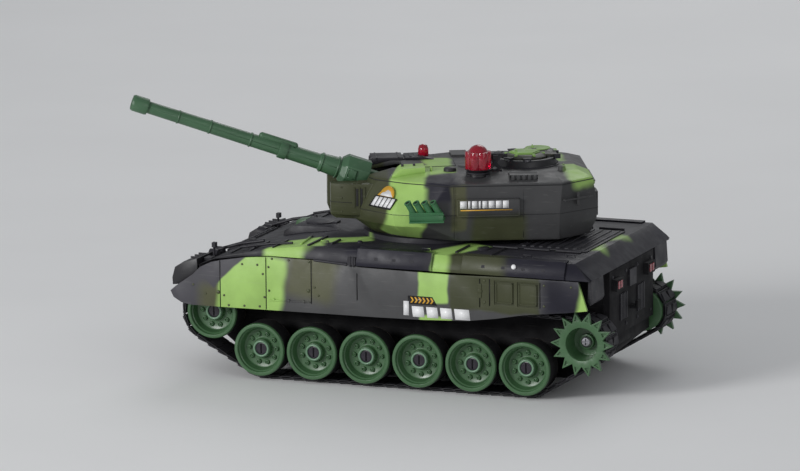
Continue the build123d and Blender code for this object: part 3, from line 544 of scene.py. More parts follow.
def belt_runs():
    """Straight and curved runs of the belt, anticlockwise seen from the left: (length, place)."""
    stations = belt_stations()
    count = len(stations)
    leave = []
    for i in range(count):
        x, z, r = stations[i]
        next_x, next_z, next_r = stations[(i + 1) % count]
        away = hypot(next_x - x, next_z - z)
        leave.append(atan2(next_z - z, next_x - x) - acos((r - next_r) / away))
    runs = []
    for i in range(count):
        x, z, r = stations[i]
        next_x, next_z, next_r = stations[(i + 1) % count]
        begin = leave[i - 1]
        sweep = (leave[i] - begin) % tau
        runs.append((r * sweep, lambda s, x=x, z=z, r=r, begin=begin:
                     (x + r * cos(begin + s / r), z + r * sin(begin + s / r), begin + s / r)))
        a = Vector((x + r * cos(leave[i]), z + r * sin(leave[i])))
        b = Vector((next_x + next_r * cos(leave[i]), next_z + next_r * sin(leave[i])))
        runs.append(((b - a).length, lambda s, a=a, b=b, out=leave[i]:
                     (*(a + (b - a).normalized() * s), out)))
    return runs


def belt_point(runs, distance):
    for length, place in runs:
        if distance <= length:
            return place(distance)
        distance -= length
    return runs[-1][1](runs[-1][0])


def draw_link(bm, low_y, high_y):
    """One track link: x along the belt, z out of it, 0 on the inner face."""
    middle = (low_y + high_y) / 2
    verts = bm.block((-3.1, low_y, 0.0), (3.1, high_y, 1.15))
    for a, b in ((low_y + 0.5, middle - 0.6), (middle + 0.6, high_y - 0.5)):
        outline = [(-2.6, a), (-1.2, a), (2.4, a + 1.4), (2.4, b - 1.4), (-1.2, b), (-2.6, b)]
        verts += bm.prism(outline, 1.0, 2.4)
    for y in (low_y + 0.9, high_y - 0.9):
        verts += bm.block((-3.6, y - 0.9, 0.25), (3.6, y + 0.9, 1.5))
    verts += bm.rod([(3.75, low_y + 0.1, 0.75), (3.75, high_y - 0.1, 0.75)], 0.55, 8)
    return verts


def make_track(side):
    low, high = box_mm(f"{side}_track")
    runs = belt_runs()
    total = sum(run[0] for run in runs)
    links = 78
    bm = Drawing()
    for i in range(links):
        x, z, out = belt_point(runs, total * i / links)
        verts = draw_link(bm, low.y, high.y)
        bm.move(verts, Matrix.Translation((x, 0, z)) @ Matrix.Rotation(pi / 2 - out, 4, "Y"))
    track = piece(f"{side}_track_links", "hull", bm, track_rubber, bevel=0.15)
    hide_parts(f"{side}_track")


for side in ("left", "right"):
    make_track(side)


# ---- hull details ----
def deck_height(x):
    """The height of the glacis and deck along the tank."""
    line = [(-117.0, deck_z), (52.0, deck_z), (77.0, 81.6), (108.0, 75.4), (126.0, 68.0), (140.0, 60.0)]
    for (x_low, z_low), (x_high, z_high) in zip(line, line[1:]):
        if x <= x_high:
            return z_low + (z_high - z_low) * (x - x_low) / (x_high - x_low)
    return line[-1][1]


def skirt_rivets():
    bm = Drawing()
    places = [(84, 71.7), (80.5, 66.3), (76.8, 70.8), (74.5, 76), (76.5, 56.4), (79.5, 52.2), (93.9, 71.5),
              (105.9, 51.7), (102.9, 45.8), (92.7, 46.1), (82.7, 46.4), (63.7, 75.8), (50.6, 75.6),
              (47.1, 60.3), (44.6, 55.5), (126, 57), (118, 52), (-61.5, 71.5), (-61.5, 58.5), (-99, 71),
              (-99, 58.5), (-116, 71)]
    for x, z in places:
        bm.stud((x, skirt_face, z), (0, 1, 0), 0.72, 0.45)
    for x, z in ((109.6, 53.4), (51.1, 58)):
        bm.stud((x, skirt_face, z), (0, 1, 0), 1.15, 0.6)
    piece("skirt_rivets", "hull", bm, rivet_olive, bevel=0.0, both=True)


def skirt_seam_shade():
    """Painted shade: dark fill in the bottoms of the seams between the skirt's panels and round its two
    recesses.
    """
    bm = Drawing()
    face = skirt_face - 0.45
    seams = [(108.4, 44.4, 72.0), (78.5, 45.0, 76.0), (49.2, 50.4, 76.4), (19.7, 54.4, 70.2),
             (-58.5, 55.6, 72.2), (-64.7, 56.8, 72.4), (-96.5, 57.3, 72.0)]
    for x, low, high in seams:
        bm.block((x - 0.33, face - 0.3, low), (x + 0.33, face + 0.12, high))
    piece("skirt_seam_shade", "hull", bm, painted_shade_dark, bevel=0.0, both=True)


def skirt_fittings():
    bm = Drawing()
    bm.rod([(76.5, skirt_face + 0.35, 50.6), (50.0, skirt_face + 0.35, 51.2)], 0.38)
    for x in (73.5, 63.7, 54.0):
        bm.stud((x, skirt_face, 51.2), (0, 1, 0), 0.95, 1.0)
    bm.stud((-58.5, skirt_face, 65.2), (0, 1, 0), 1.7, 0.7)
    bm.block((-59.6, skirt_face - 0.2, 61.0), (-57.6, skirt_face + 0.4, 69.6))
    for a, b, c, d in ((-79.2, -68.6, 58.6, 71.0), (-94.4, -83.1, 58.2, 71.0)):
        for low, high in (((a, c), (a + 0.7, d)), ((b - 0.7, c), (b, d)), ((a, c), (b, c + 0.7)),
                          ((a, d - 0.7), (b, d))):
            bm.block((low[0], skirt_face - 0.2, low[1]), (high[0], skirt_face + 0.35, high[1]))
    piece("skirt_fittings", "hull", bm, hull_camouflage, bevel=0.12, both=True)


def white_peg():
    """The pale round peg on the band over the skirt."""
    bm = Drawing()
    bm.stud((-80.0, skirt_face + 0.1, 81.0), (0, 0.9, 0.35), 1.5, 1.0)
    piece("fender_pegs", "hull", bm, mark_white, bevel=0.0, both=True)


def skirt_marks():
    """Plain bars and arrowheads where the toy has its stickers."""
    face = skirt_face + 0.02
    white = Drawing()
    white.block((-13.4, face - 0.2, 47.4), (-10.0, face + 0.1, 56.0))
    lean = 0.8
    for x_low, x_high in ((-22.6, -15.2), (-31.4, -24.4), (-40.4, -33.2), (-51.6, -42.2)):
        outline = [(x_high - lean, 46.8), (x_high, 53.2), (x_low, 53.2), (x_low - lean, 46.8)]
        white.prism(outline, face - 0.2, face + 0.1, "Y")
    yellow = Drawing()
    black = Drawing()
    black.prism([(-12.8, 54.4), (-12.8, 59.4), (-28.4, 59.4), (-31.4, 54.4)], face - 0.2, face + 0.06, "Y")
    chevron_pitch = 2.5
    for i in range(6):
        x = -14.4 - i * chevron_pitch
        outline = [(x, 55.2), (x - 1.2, 56.9), (x, 58.7), (x - 1.1, 58.7), (x - 2.3, 56.9), (x - 1.1, 55.2)]
        yellow.prism(outline, face - 0.2, face + 0.14, "Y")
    piece("skirt_marks_white", "hull", white, mark_white, bevel=0.0, both=True)
    piece("skirt_marks_yellow", "hull", yellow, mark_yellow, bevel=0.0, both=True)
    piece("skirt_marks_black", "hull", black, mark_black, bevel=0.0, both=True)


def deck_ribs():
    """Raised straps that run in from the fender's edge."""
    bm = Drawing()
    straps = [(90.5, 38, 68.4, 1.3), (75.5, 44, 68.6, 0.9), (52.5, 38, 68.6, 1.5), (41.0, 46, 60, 1.5),
              (-39.0, 38, 60, 1.6), (-62.0, 36, 63, 1.5), (104.0, 40, 66, 0.9)]
    for x, y_low, y_high, width in straps:
        z = deck_height(x)
        bm.block((x - width / 2, y_low, z - 0.8), (x + width / 2, y_high, z + 1.0))
    piece("deck_straps", "hull", bm, dark_plastic, bevel=0.25, both=True)
    pale = Drawing()
    pale.rod([(59.8, 62, deck_height(59.8) + 0.5), (64, 34, deck_height(64) + 0.5)], 0.7)
    pale.stud((27, 49, deck_z), (0, 0, 1), 1.8, 1.4)
    piece("deck_bars", "hull", pale, deck_camouflage, bevel=0.0, both=True)


def deck_fittings():
    """Driver's lid and its hinge, lifting eyes, round caps and tool bars on the deck."""
    bm = Drawing()
    hump = 85.7
    bm.upright([(0, hump + 1.6), (7.6, hump + 1.4), (9.2, hump + 0.7), (9.2, hump - 0.5)], 72, 0, 40)
    bm.block((60.6, -3.4, hump - 0.3), (63.4, 3.4, hump + 1.1))
    for x, y in ((96, 52), (46, 58), (-20, 60), (-84, 60), (-108, 50)):
        z = deck_height(x)
        bm.loop((x, y, z + 0.1), (2.4, 0), 1.4, 0.45)
    for x, y, size in ((-50, 44, 4.2), (-50, -44, 4.2), (108, 22, 2.6)):
        z = deck_height(x)
        bm.upright([(0, z + 1.5), (size * 0.8, z + 1.4), (size, z + 0.8), (size, z - 0.5)], x, y, 28)
    piece("deck_fittings", "hull", bm, deck_camouflage)
    tools = Drawing()
    tools.rod([(122, 42, 73.2), (108, 42, 77.6), (92, 42, 80.4)], 1.0)
    tools.rod([(101, 58, 78.8), (80, 60, 82.6), (66, 60, 84.0)], 0.8)
    tools.block((118.6, 55.5, 69.4), (123.2, 62.0, 71.8))
    tools.rod([(121.5, 50.5, 68.0), (121.5, 50.5, 77.6)], 0.7)
    tools.block((119.9, 49.0, 76.2), (122.4, 52.2, 79.2))
    for x in (-54, -74, -94):
        tools.rod([(x, 38, deck_z + 0.8), (x - 16, 38, deck_z + 0.8)], 0.8)
    piece("deck_tools", "hull", tools, dark_plastic, both=True)


def glacis_links():
    """A row of spare track links across the nose."""
    bm = Drawing()
    row_x = 116.5
    slope = Matrix.Rotation(radians(22), 4, "Y")
    for y in range(-27, 28, 9):
        verts = bm.block((-3.6, -3.9, 0.0), (3.6, 3.9, 1.6))
        verts += bm.block((-2.4, -3.0, 1.4), (2.4, 3.0, 2.4))
        verts += bm.rod([(4.2, -3.9, 0.8), (4.2, 3.9, 0.8)], 0.7, 8)
        bm.move(verts, Matrix.Translation((row_x, y, deck_height(row_x) - 0.3)) @ slope)
    piece("spare_links", "hull", bm, dark_plastic)


def headlamps():
    bm = Drawing()
    glass = Drawing()
    for y in (34.0, 42.5):
        z = deck_height(127.0) + 2.4
        bm.turned([(0, 121.5), (3.0, 122.0), (3.6, 124.0), (3.6, 127.4), (3.1, 127.4), (2.9, 126.4),
                   (0, 126.4)], (0, y, z), "X", 28)
        glass.turned([(0, 127.2), (1.8, 127.0), (2.9, 126.4), (2.9, 126.0), (0, 126.0)], (0, y, z), "X", 28)
        bm.block((122.5, y - 1.2, z - 5.4), (125.5, y + 1.2, z - 2.6))
    piece("headlamps", "hull", bm, dark_plastic, bevel=0.12, both=True)
    piece("headlamp_glass", "hull", glass, smoke_lens, bevel=0.0, both=True)


def mudguard_ribs():
    front = box_mm("mudguards")[1].x
    bm = Drawing()
    for z in (57.2, 60.2, 63.2):
        bm.block((front - 1.4, 47.0, z), (front + (0.1 if z < 62 else -0.7), 69.0, z + 0.9))
    for y in (52.0, 58.0, 64.0):
        bm.block((126.0, y - 0.5, 71.4), (131.0, y + 0.5, 72.5))
    piece("mudguard_ribs", "hull", bm, dark_plastic, both=True)


def nose_fittings():
    """Towing hooks and rows of bolts on the sloped nose."""
    bm = Drawing()
    hook = [(130.5, 49.0), (137.5, 48.0), (138.4, 52.5), (136.6, 53.0), (136.2, 50.2), (132.0, 51.4)]
    bm.prism(hook, 20.7, 23.3, "Y")
    slope = Vector((32, 0, -18)).normalized()
    for y in (8.0, 24.0, 34.0):
        for share in (0.15, 0.9):
            place = Vector((118.0, y, 20.0)).lerp(Vector((136.0, y, 52.0)), share)
            bm.stud(place, slope, 1.2, 0.6)
    piece("nose_fittings", "hull", bm, dark_plastic, bevel=0.15, both=True)


def bin_fittings():
    """Latches down the sloping sides of the stowage bins, and a bracket and bar in front of them."""
    bm = Drawing()
    y_top, z_top = 69.2, deck_z + 0.7
    y_low, z_low = 73.3, 77.9
    lean = Matrix.Rotation(atan2(y_low - y_top, z_top - z_low), 4, "X")
    place = Matrix.Translation((0, y_low - 0.6, z_low + 1.2)) @ lean
    for x_low, x_high in ((-27.0, 19.0), (-111.0, -48.0)):
        count = int((x_high - x_low) // 15)
        for i in range(1, count + 1):
            x = x_low + (x_high - x_low) * i / (count + 1)
            bm.move(bm.block((x - 1.1, -0.1, 0.0), (x + 1.1, 0.45, 3.6)), place)
    bm.block((20.4, 70.4, 75.4), (25.6, 73.3, 80.2))
    bm.block((21.4, 73.0, 74.6), (22.6, 73.6, 80.8))
    bm.block((23.4, 73.0, 74.6), (24.6, 73.6, 80.8))
    bm.rod([(47.4, 72.5, 76.9), (26.0, 72.6, 75.6)], 0.8)
    piece("bin_fittings", "hull", bm, dark_plastic, bevel=0.15, both=True)


def tail_fittings():
    """Louvres, a plate and bolts on the rear plate, mud flaps and lamp lenses."""
    rear_plate = box_mm("lower_hull")[0].x
    face = tail_x
    louvre_pitch = 2.6
    bm = Drawing()
    for side in (-1, 1):
        for i in range(5):
            y = side * (10.0 + i * louvre_pitch)
            bm.block((face - 0.9, y - 0.7, 42.0), (face + 0.3, y + 0.7, 58.0))
    bm.block((face - 1.2, -6.0, 60.0), (face + 0.3, 6.0, 70.0))
    for y in (-34.0, -10.0, 10.0, 34.0):
        for z in (38.5, 70.5):
            bm.stud((face, y, z), (-1, 0, 0), 1.1, 0.7)
    piece("tail_fittings", "hull", bm, dark_plastic)
    flaps = Drawing()
    flap = [(-126.6, 74.4), (-125.0, 74.4), (-124.6, 62.0), (-126.0, 59.6), (-127.4, 62.0)]
    flaps.prism(flap, 46.0, 68.0, "Y")
    piece("rear_flaps", "hull", flaps, dark_plastic, bevel=0.25, both=True)
    lamps = Drawing()
    for y in (-30.4, -26.0):
        lamps.block((rear_plate + 1.7, y - 1.6, 63.2), (rear_plate + 2.4, y + 1.6, 67.8))
    piece("tail_lenses", "hull", lamps, red_lens, both=True)


for build in (skirt_rivets, skirt_seam_shade, skirt_fittings, white_peg, skirt_marks, deck_ribs, deck_fittings,
              glacis_links, headlamps, mudguard_ribs, nose_fittings, bin_fittings, tail_fittings):
    build()


# ---- turret details ----
turret_waist = [(48, 16), (44, 27), (27, 48), (8, 55), (-72, 56.5), (-97, 38)]
turret_edge = [(38, 16), (35, 24), (19, 38), (-6, 53), (-74, 54.5), (-94, 36)]
waist_z = 104.0
edge_z = roof_z - 3.7
lamp_place = (-25.0, 38.0)
cupola_place = (-56.0, 6.0)
loader_place = (-67.0, -25.0)
lid_top = roof_z + 7.1


def casting_line(share):
    """The turret's outline between its waist and its roof edge, on the left side, front to rear."""
    pairs = zip(turret_waist, turret_edge)
    z = waist_z + (edge_z - waist_z) * share
    return [(a + (c - a) * share, b + (d - b) * share, z) for (a, b), (c, d) in pairs]


def face_frame(start, end, upper):
    """Axes on a sloping face: x from start to end, z outwards, for flat marks."""
    along = (end - start).normalized()
    out = along.cross(upper - start).normalized()
    up = out.cross(along)
    turn = Matrix((along, up, out)).transposed().to_4x4()
    return Matrix.Translation(start) @ turn


def turret_seam_shade():
    """Painted shade along the joint lines of the roof and floor mouldings, and down the seams on the sides.
    """
    bm = Drawing()
    for share, radius in ((0.94, 0.3), (0.0, 0.16)):
        port = casting_line(share)
        starboard = [(x, -y, z) for x, y, z in reversed(port)]
        bm.rod(port + starboard, radius, 8)
    for side in (-1, 1):
        for x in (-50.5, -9.0, -70.5):
            bm.rod([(x, side * 54.6, 90.0), (x, side * 56.1, waist_z), (x, side * 54.0, edge_z - 1.5)],
                   0.16, 8)
        bm.rod([(49.6, side * 23.9, 107.3), (62.0, side * 18.0, 107.3), (62.0, side * 11.4, 107.3)], 0.2, 8)
    piece("turret_seam_shade", "turret", bm, painted_shade_dark, bevel=0.0)


def mantlet_slots():
    """Ribs down the mantlet's cheeks and three vents on their tops, with painted shade between the ribs and
    in the vents.
    """
    bm = Drawing()
    for x in (46.6, 44.0):
        bm.block((x - 0.6, 23.6, 105.2), (x + 0.6, 24.25, 115.8))
    for x, y in ((42.6, 12.9), (44.4, 16.9), (46.2, 20.9)):
        bm.block((x - 2.1, y - 0.85, 118.2), (x + 2.1, y + 0.85, 118.75))
    piece("mantlet_slot_shade", "turret", bm, painted_shade_dark, bevel=0.1, both=True)
    ribs = Drawing()
    for x in (48.4, 45.3, 42.2):
        ribs.block((x - 0.5, 23.6, 104.2), (x + 0.5, 24.5, 116.8))
    for x, y in ((42.6, 12.9), (44.4, 16.9), (46.2, 20.9)):
        ribs.block((x - 2.7, y + 0.85, 118.2), (x + 2.7, y + 1.5, 119.1))
    for z in (101.6, 110.0, 116.6):
        ribs.stud((55.8, 21.0, z), (12.5 * 0.43, 12.5 * 0.9, 0), 0.7, 0.4)
    piece("mantlet_ribs", "turret", ribs, turret_camouflage, bevel=0.12, both=True)


def cheek_emblem():
    """A rising sun over slanted bars, where the toy has a sticker."""
    start = Vector((*turret_waist[1], waist_z))
    end = Vector((*turret_waist[2], waist_z))
    upper = Vector((*turret_edge[1], edge_z))
    face = IN_TURRET @ face_frame(start, end, upper) @ Matrix.Translation((1.5, 0, 0))
    black = Drawing()
    black.prism([(3.2, 2.8), (21.6, 2.4), (24.0, 9.9), (6.2, 10.1)], -0.5, 0.25)
    white = Drawing()
    for i in range(5):
        x = 4.9 + i * 3.5
        white.prism([(x, 3.6), (x + 2.6, 3.5), (x + 4.6, 9.3), (x + 2.0, 9.4)], -0.5, 0.42)
    hill = [(9.8, 10.3), (11.4, 12.2), (13.2, 12.7), (15.2, 14.3), (17.4, 13.7), (19.2, 11.7), (20.6, 10.2)]
    white.prism(hill, -0.5, 0.5)
    yellow = Drawing()
    disc = [(15.2 + 5.9 * cos(pi * i / 16), 10.2 + 6.6 * sin(pi * i / 16)) for i in range(17)]
    yellow.prism(disc, -0.5, 0.35)
    yellow.prism([(7.6, 10.25), (10.2, 10.25), (13.0, 15.0), (12.0, 15.3)], -0.5, 0.32)
    piece("emblem_black", "turret", black, mark_black, face, bevel=0.0)
    piece("emblem_white", "turret", white, mark_white, face, bevel=0.0)
    piece("emblem_yellow", "turret", yellow, mark_yellow, face, bevel=0.0)


def plate_marks():
    """Plain bars and an underline on the name plates."""
    white = Drawing()
    face = 57.62
    x = -12.4
    for width, gap in ((4.0, 0.8), (1.4, 0.8), (3.3, 0.8), (1.4, 0.8), (3.0, 0.7), (3.6, 0.7), (3.5, 0.7),
                       (3.6, 0.0)):
        outline = [(x, 113.0), (x - width, 113.0), (x - width, 108.6), (x, 108.6)]
        white.prism(outline, face - 0.3, face + 0.12, "Y")
        x -= width + gap
    yellow = Drawing()
    yellow.block((-43.6, face - 0.3, 107.1), (-12.6, face + 0.1, 107.7))
    piece("plate_marks_white", "turret", white, mark_white, bevel=0.0, both=True)
    piece("plate_marks_yellow", "turret", yellow, mark_yellow, bevel=0.0, both=True)
    frame_lines = Drawing()
    for low, high in (((-48.0, 113.4), (-10.6, 114.0)), ((-48.0, 103.5), (-10.6, 104.1)),
                      ((-48.0, 103.5), (-47.3, 114.0)), ((-11.3, 103.5), (-10.6, 114.0))):
        frame_lines.block((low[0], face - 0.3, low[1]), (high[0], face + 0.18, high[1]))
    piece("plate_rims", "turret", frame_lines, turret_camouflage, bevel=0.08, both=True)


def launcher_bores():
    """Rims and lower seams of the slanted smoke tubes, and painted shade in their bores."""
    rims = Drawing()
    bores = Drawing()
    lean = Matrix.Rotation(radians(-18), 4, "X") @ Matrix.Rotation(radians(28), 4, "Y")
    tube_pitch = 5.0
    for i in range(4):
        place = Matrix.Translation((1.0 + i * tube_pitch, 58.0, waist_z + 3.5)) @ lean
        rims.move(rims.upright([(1.25, 6.2), (2.15, 6.2), (2.15, 7.1), (1.25, 7.1)], 0, 0, 24, closed=True),
                  place)
        # painted shade inside each bore
        bores.move(bores.upright([(0, 6.4), (1.3, 6.4), (1.3, 6.7), (0, 6.7)], 0, 0, 24), place)
    rims.block((-2.4, 59.9, 100.8), (18.4, 60.9, 101.8))
    rims.block((-2.4, 59.9, 105.4), (18.4, 60.9, 106.2))
    piece("launcher_rims", "turret", rims, launcher_green, bevel=0.1, both=True)
    piece("launcher_bores", "turret", bores, painted_shade_dark, bevel=0.0, both=True)


def lamp_details():
    """A dark core of painted shade that shows through the red lamp, and the ring and bracket round its foot.
    """
    x, y = lamp_place
    core = Drawing()
    core.upright([(0, 129.3), (2.6, 129.3), (2.4, 134.0), (1.2, 135.8), (0, 136.0)], x, y, 24)
    piece("lamp_core_shade", "turret", core, painted_shade_dark, bevel=0.0)
    foot = Drawing()
    foot.upright([(6.0, 126.4), (7.4, 126.6), (7.4, 127.3), (6.0, 127.6)], x, y, 40, closed=True)
    for turn in (0.4, 2.5, 4.6):
        foot.block((x + 6.6 * cos(turn) - 1.1, y + 6.6 * sin(turn) - 1.1, 122.6),
                   (x + 6.6 * cos(turn) + 1.1, y + 6.6 * sin(turn) + 1.1, 126.0))
    piece("lamp_foot", "turret", foot, dark_plastic, bevel=0.15)
    spare = Drawing()
    spare.upright([(0, 126.0), (3.2, 126.0), (3.2, 131.2), (2.4, 133.4), (0, 134.2)], 3.0, -22.0, 28)
    piece("pod_lens", "turret", spare, red_lens, bevel=0.0)


def cupola_details():
    x, y = cupola_place
    bm = Drawing()
    glass = Drawing()
    for turn in (-110, -70, -30, 10, 50, 90):
        place = Matrix.Translation((x, y, 0)) @ Matrix.Rotation(radians(turn), 4, "Z")
        bm.move(bm.block((15.6, -2.2, roof_z + 2.4), (18.6, 2.2, roof_z + 5.6)), place)
        bm.move(bm.block((15.2, -2.5, roof_z + 5.4), (19.0, 2.5, roof_z + 6.0)), place)
        glass.move(glass.block((18.4, -1.6, roof_z + 3.8), (18.75, 1.6, roof_z + 5.2)), place)
    bm.turned([(20.0, roof_z - 0.3), (21.0, roof_z - 0.3), (21.0, roof_z + 0.5), (20.0, roof_z + 0.8)],
              (x, y, 0), "Z", 56, closed=True)
    for side in (-1, 1):
        bm.block((x - 21.2, y + side * 5.6 - 1.0, roof_z + 3.6),
                 (x - 17.6, y + side * 5.6 + 1.0, roof_z + 6.4))
    piece("cupola_blocks", "turret", bm, dark_plastic, bevel=0.15)
    piece("cupola_glass", "turret", glass, smoke_lens, bevel=0.0)
    lid = Drawing()
    hexagon = [(x + 9.6 * cos(tau * i / 6), y + 9.6 * sin(tau * i / 6)) for i in range(6)]
    small = [(x + 8.4 * cos(tau * i / 6), y + 8.4 * sin(tau * i / 6)) for i in range(6)]
    lid.prism(hexagon, lid_top - 0.9, lid_top + 0.1)
    lid.prism(small, lid_top, lid_top + 0.6)
    lid.loop((x + 5.0, y, lid_top + 0.5), (0.0, 2.4), 0.9, 0.4)
    for turn in range(6):
        lid.block((x - 0.9 + 11.2 * cos(turn), y - 0.9 + 11.2 * sin(turn), lid_top - 1.6),
                  (x + 0.9 + 11.2 * cos(turn), y + 0.9 + 11.2 * sin(turn), lid_top - 0.2))
    lid.upright([(0, lid_top + 0.9), (2.4, lid_top + 0.8), (2.8, lid_top + 0.4)], x - 3.0, y, 24)
    piece("commander_hatch_fittings", "commander_hatch", lid, lid_green, bevel=0.15)


def roof_details():
    """Loader's lid, lifting eyes, seams, sight slits, antenna foot and a roof gun on its crossed bracket."""
    x, y = loader_place
    lid = Drawing()
    top = roof_z + 3.7
    lid.upright([(0, top + 0.3), (6.8, top + 0.2), (7.4, top - 0.4)], x, y, 40)
    lid.loop((x + 3.0, y, top - 0.1), (0.0, 2.8), 1.4, 0.45)
    lid.block((x - 11.6, y - 3.0, roof_z - 0.2), (x - 8.6, y + 3.0, roof_z + 2.6))
    lid.upright([(7.0, top - 0.3), (7.6, top - 0.3), (7.6, top + 0.3), (7.0, top + 0.3)], x, y, 40,
                closed=True)
    piece("loader_lid_fittings", "turret", lid, lid_green, bevel=0.15)
    bm = Drawing()
    for px, py in ((2.0, 24.0), (2.0, -24.0), (-78.0, 22.0), (-78.0, -24.0)):
        bm.loop((px, py, roof_z - 0.1), (0.0, 1.8), 1.8, 0.5)
    bm.block((-14.0, -36.2, roof_z - 0.4), (-24.0, -20.0, roof_z + 1.4))
    bm.upright([(0, roof_z + 1.0), (4.6, roof_z + 0.9), (5.4, roof_z - 0.3)], -20.0, 12.0, 32)
    bm.upright([(0, roof_z + 2.6), (2.0, roof_z + 2.4), (2.6, roof_z - 0.5)], -76.0, 31.0, 24)
    bm.block((-2.0, 15.0, roof_z - 1.8), (8.0, 27.0, roof_z - 0.2))
    bm.block((6.4, 14.2, roof_z - 4.0), (23.6, 28.8, roof_z - 3.0))
    piece("roof_fittings", "turret", bm, turret_camouflage)
    dark = Drawing()
    dark.rod([(5.0, 31.0, edge_z + 1.5), (-6.5, 31.5, roof_z - 0.5)], 0.6)
    dark.rod([(9.5, 13.5, roof_z + 0.1), (-14.0, 10.0, roof_z + 0.1), (-14.0, -10.0, roof_z + 0.1)], 0.2, 8)
    for px in (12.0, 19.0):
        dark.block((px - 0.7, 19.0, roof_z + 1.6), (px + 0.7, 21.0, roof_z + 3.5))
    dark.turned([(0, 3.6), (3.3, 3.4), (3.8, 2.6), (3.8, 0)], (-9.0, 27.0, roof_z - 1.2), "Z", 28)
    for px in (-30.0, -34.5):
        dark.rod([(px, -14.0, roof_z + 0.1), (px, -33.0, roof_z + 0.1)], 0.18, 8)
    piece("roof_marks", "turret", dark, dark_plastic, bevel=0.0)
    gun = Drawing()
    top = roof_z + 8.6
    gun.block((-41.0, 25.6, top - 0.6), (-31.5, 28.4, top + 1.7))
    gun.rod([(-31.6, 27.0, top + 0.6), (-18.5, 27.0, top + 0.9)], 0.65)
    gun.rod([(-21.5, 27.0, top + 0.83), (-18.3, 27.0, top + 0.9)], 0.95)
    gun.block((-43.6, 26.4, top - 0.9), (-41.0, 27.6, top + 1.2))
    gun.block((-38.0, 28.2, top - 1.7), (-34.6, 30.4, top + 1.0))
    gun.rod([(-36.0, 24.8, roof_z + 4.9), (-36.0, 29.2, roof_z + 4.9)], 0.9)
    piece("roof_gun", "turret", gun, dark_plastic, bevel=0.15)


pod_z = roof_z - 3.0


def sight_details():
    """Windows, hinges and lids of the sight and of the lamp housing."""
    glass = Drawing()
    glass.prism([(24.15, 122.4), (26.0, 124.1), (26.3, 123.7), (24.5, 121.9)], 16.0, 27.0, "Y")
    for y in (-26.6, -18.0):
        glass.turned([(0, 35.25), (3.1, 35.2), (3.3, 34.8)], (0, y, pod_z), "X", 28)
    piece("sight_glass", "turret", glass, smoke_lens, bevel=0.0)
    bm = Drawing()
    for y in (-26.6, -18.0):
        bm.turned([(3.2, 34.8), (3.9, 34.8), (3.9, 35.7), (3.2, 35.7)], (0, y, pod_z), "X", 28, closed=True)
    for x in (18.5, 32.0):
        bm.block((x - 0.5, -31.25, pod_z - 4.0), (x + 0.5, -13.25, pod_z + 4.85))
    bm.block((18.0, -13.6, pod_z - 2.6), (33.0, -13.2, pod_z - 2.0))
    bm.block((3.6, -30.2, pod_z + 1.0), (4.4, -13.3, pod_z + 4.6))
    for x in (8.0, 11.0):
        bm.block((x - 0.9, -28.0, pod_z + 4.0), (x + 0.9, -16.0, pod_z + 4.9))
    piece("pod_ribs", "turret", bm, dark_plastic, bevel=0.12)


def bustle_details():
    """Stowage bars, a rear bin with latches and seams on the bustle."""
    bm = Drawing()
    for side in (-1, 1):
        bm.rod([(-74.5, side * 54.6, 112.0), (-75.5, side * 57.4, 112.0), (-93.0, side * 43.9, 112.0),
                (-92.0, side * 42.0, 112.0)], 0.55)
        bm.block((-84.6, side * 48.9 - 0.8, 108.0), (-83.2, side * 48.9 + 0.8, 115.5))
    for y in (-28.0, 28.0):
        bm.block((-97.4, y - 6.0, 98.6), (-94.0, y + 6.0, 113.0))
        bm.block((-97.9, y - 1.2, 109.0), (-97.0, y + 1.2, 112.0))
    for z in (101.0, 106.0, 111.0, 116.0):
        bm.block((-97.5, -18.0, z), (-94.5, 18.0, z + 1.0))
    for y in (-34.0, -18.0, 18.0, 34.0):
        bm.stud((-94.9, y, 118.6), (-1, 0, 0.2), 1.0, 0.6)
    piece("bustle_fittings", "turret", bm, turret_camouflage)


def gun_details():
    """Mould lines along the barrel and sleeve, hoops, and a rectangular rim on each side of the gun behind
    the sleeve.
    """
    bm = Drawing()
    for side in (-1, 1):
        bm.rod([(57.2, side * 6.3, 0.4), (68.4, side * 5.6, 0.4)], 0.22, 8)
        bm.rod([(70.2, side * 4.82, 0.2), (89.6, side * 4.62, 0.2)], 0.16, 8)
        bm.rod([(95.2, side * 4.22, 0.2), (177.6, side * 3.74, 0.2)], 0.14, 8)
    for x, radius in ((57.4, 6.7), (67.4, 6.0), (112.5, 4.5), (138.0, 4.3), (158.0, 4.15)):
        bm.turned([(radius - 1.0, x), (radius, x + 0.15), (radius, x + 1.1), (radius - 1.0, x + 1.25)],
                  axis="X", segments=40, closed=True)
    for side in (-1, 1):
        corners = [(46.9, -2.6), (46.9, 2.6), (51.8, 2.6), (51.8, -2.6), (46.9, -2.6)]
        bm.rod([(x, side * 10.0, z) for x, z in corners], 0.35, 8)
    piece("gun_mouldings", "gun", bm, gun_green, bevel=0.0)


for build in (turret_seam_shade, mantlet_slots, cheek_emblem, plate_marks, launcher_bores, lamp_details,
              cupola_details, roof_details, sight_details, bustle_details, gun_details):
    build()


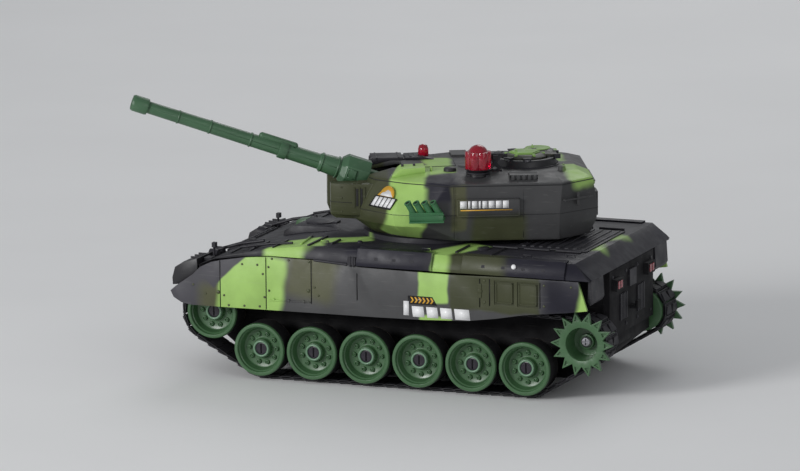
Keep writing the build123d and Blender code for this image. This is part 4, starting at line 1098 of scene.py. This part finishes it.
# ---- camera ----
def make_camera():
    """The view from the left rear quarter, a little above, through a long lens."""
    azimuth, elevation, roll = radians(201.588), radians(10.875), radians(0.462)
    target = Vector((20.6, 0.0, 80.4)) * MM
    distance = 3.9425
    back = Vector((sin(azimuth) * cos(elevation), -cos(azimuth) * cos(elevation), sin(elevation)))
    right = Vector((cos(azimuth), sin(azimuth), 0))
    up = back.cross(right)
    side = right * cos(roll) - up * sin(roll)
    top = right * sin(roll) + up * cos(roll)
    data = bpy.data.cameras.new("camera")
    data.sensor_width = 36.0
    data.lens = 293.0
    data.clip_start = 0.1
    data.clip_end = 50.0
    camera = add_object("camera", data)
    turn = Matrix((side, top, back)).transposed().to_4x4()
    camera.matrix_world = Matrix.Translation(target + back * distance) @ turn
    bpy.context.scene.camera = camera


make_camera()


# ---- stage ----
def make_stage():
    half = 6.0
    mesh = bpy.data.meshes.new("floor")
    corners = [(-half, -half, 0), (half, -half, 0), (half, half, 0), (-half, half, 0)]
    mesh.from_pydata(corners, [], [(0, 1, 2, 3)])
    graph = Graph("floor_paper")
    graph.set({"Base Color": graph.grey(graph.span(graph.noise(5, 3), 0.3, 0.7, 0.86, 0.88)),
               "Roughness": 0.8})
    mesh.materials.append(graph.material)
    floor = add_object("floor", mesh)


def add_light(name, place, target, size, power):
    data = bpy.data.lights.new(name, "AREA")
    data.shape = "DISK"
    data.size = size
    data.energy = power
    light = add_object(name, data)
    aim_at = (Vector(target) - Vector(place)).to_track_quat("-Z", "Y")
    light.location = place
    light.rotation_mode = "QUATERNION"
    light.rotation_quaternion = aim_at


def make_lights():
    world = bpy.data.worlds.new("studio")
    bpy.context.scene.world = world
    world.use_nodes = True
    sky = world.node_tree.nodes["Background"].inputs
    sky["Color"].default_value = (0.93, 0.96, 1.0, 1)
    sky["Strength"].default_value = 0.33
    middle = (0, 0, 0.08)
    add_light("key", (1.3, 2.2, 0.95), middle, 0.9, 40)
    add_light("fill", (-1.8, 1.6, 0.9), middle, 1.4, 6)
    add_light("rim", (0.2, -1.8, 1.5), middle, 1.2, 8)
    bpy.context.scene.view_settings.view_transform = "Standard"


make_stage()
make_lights()
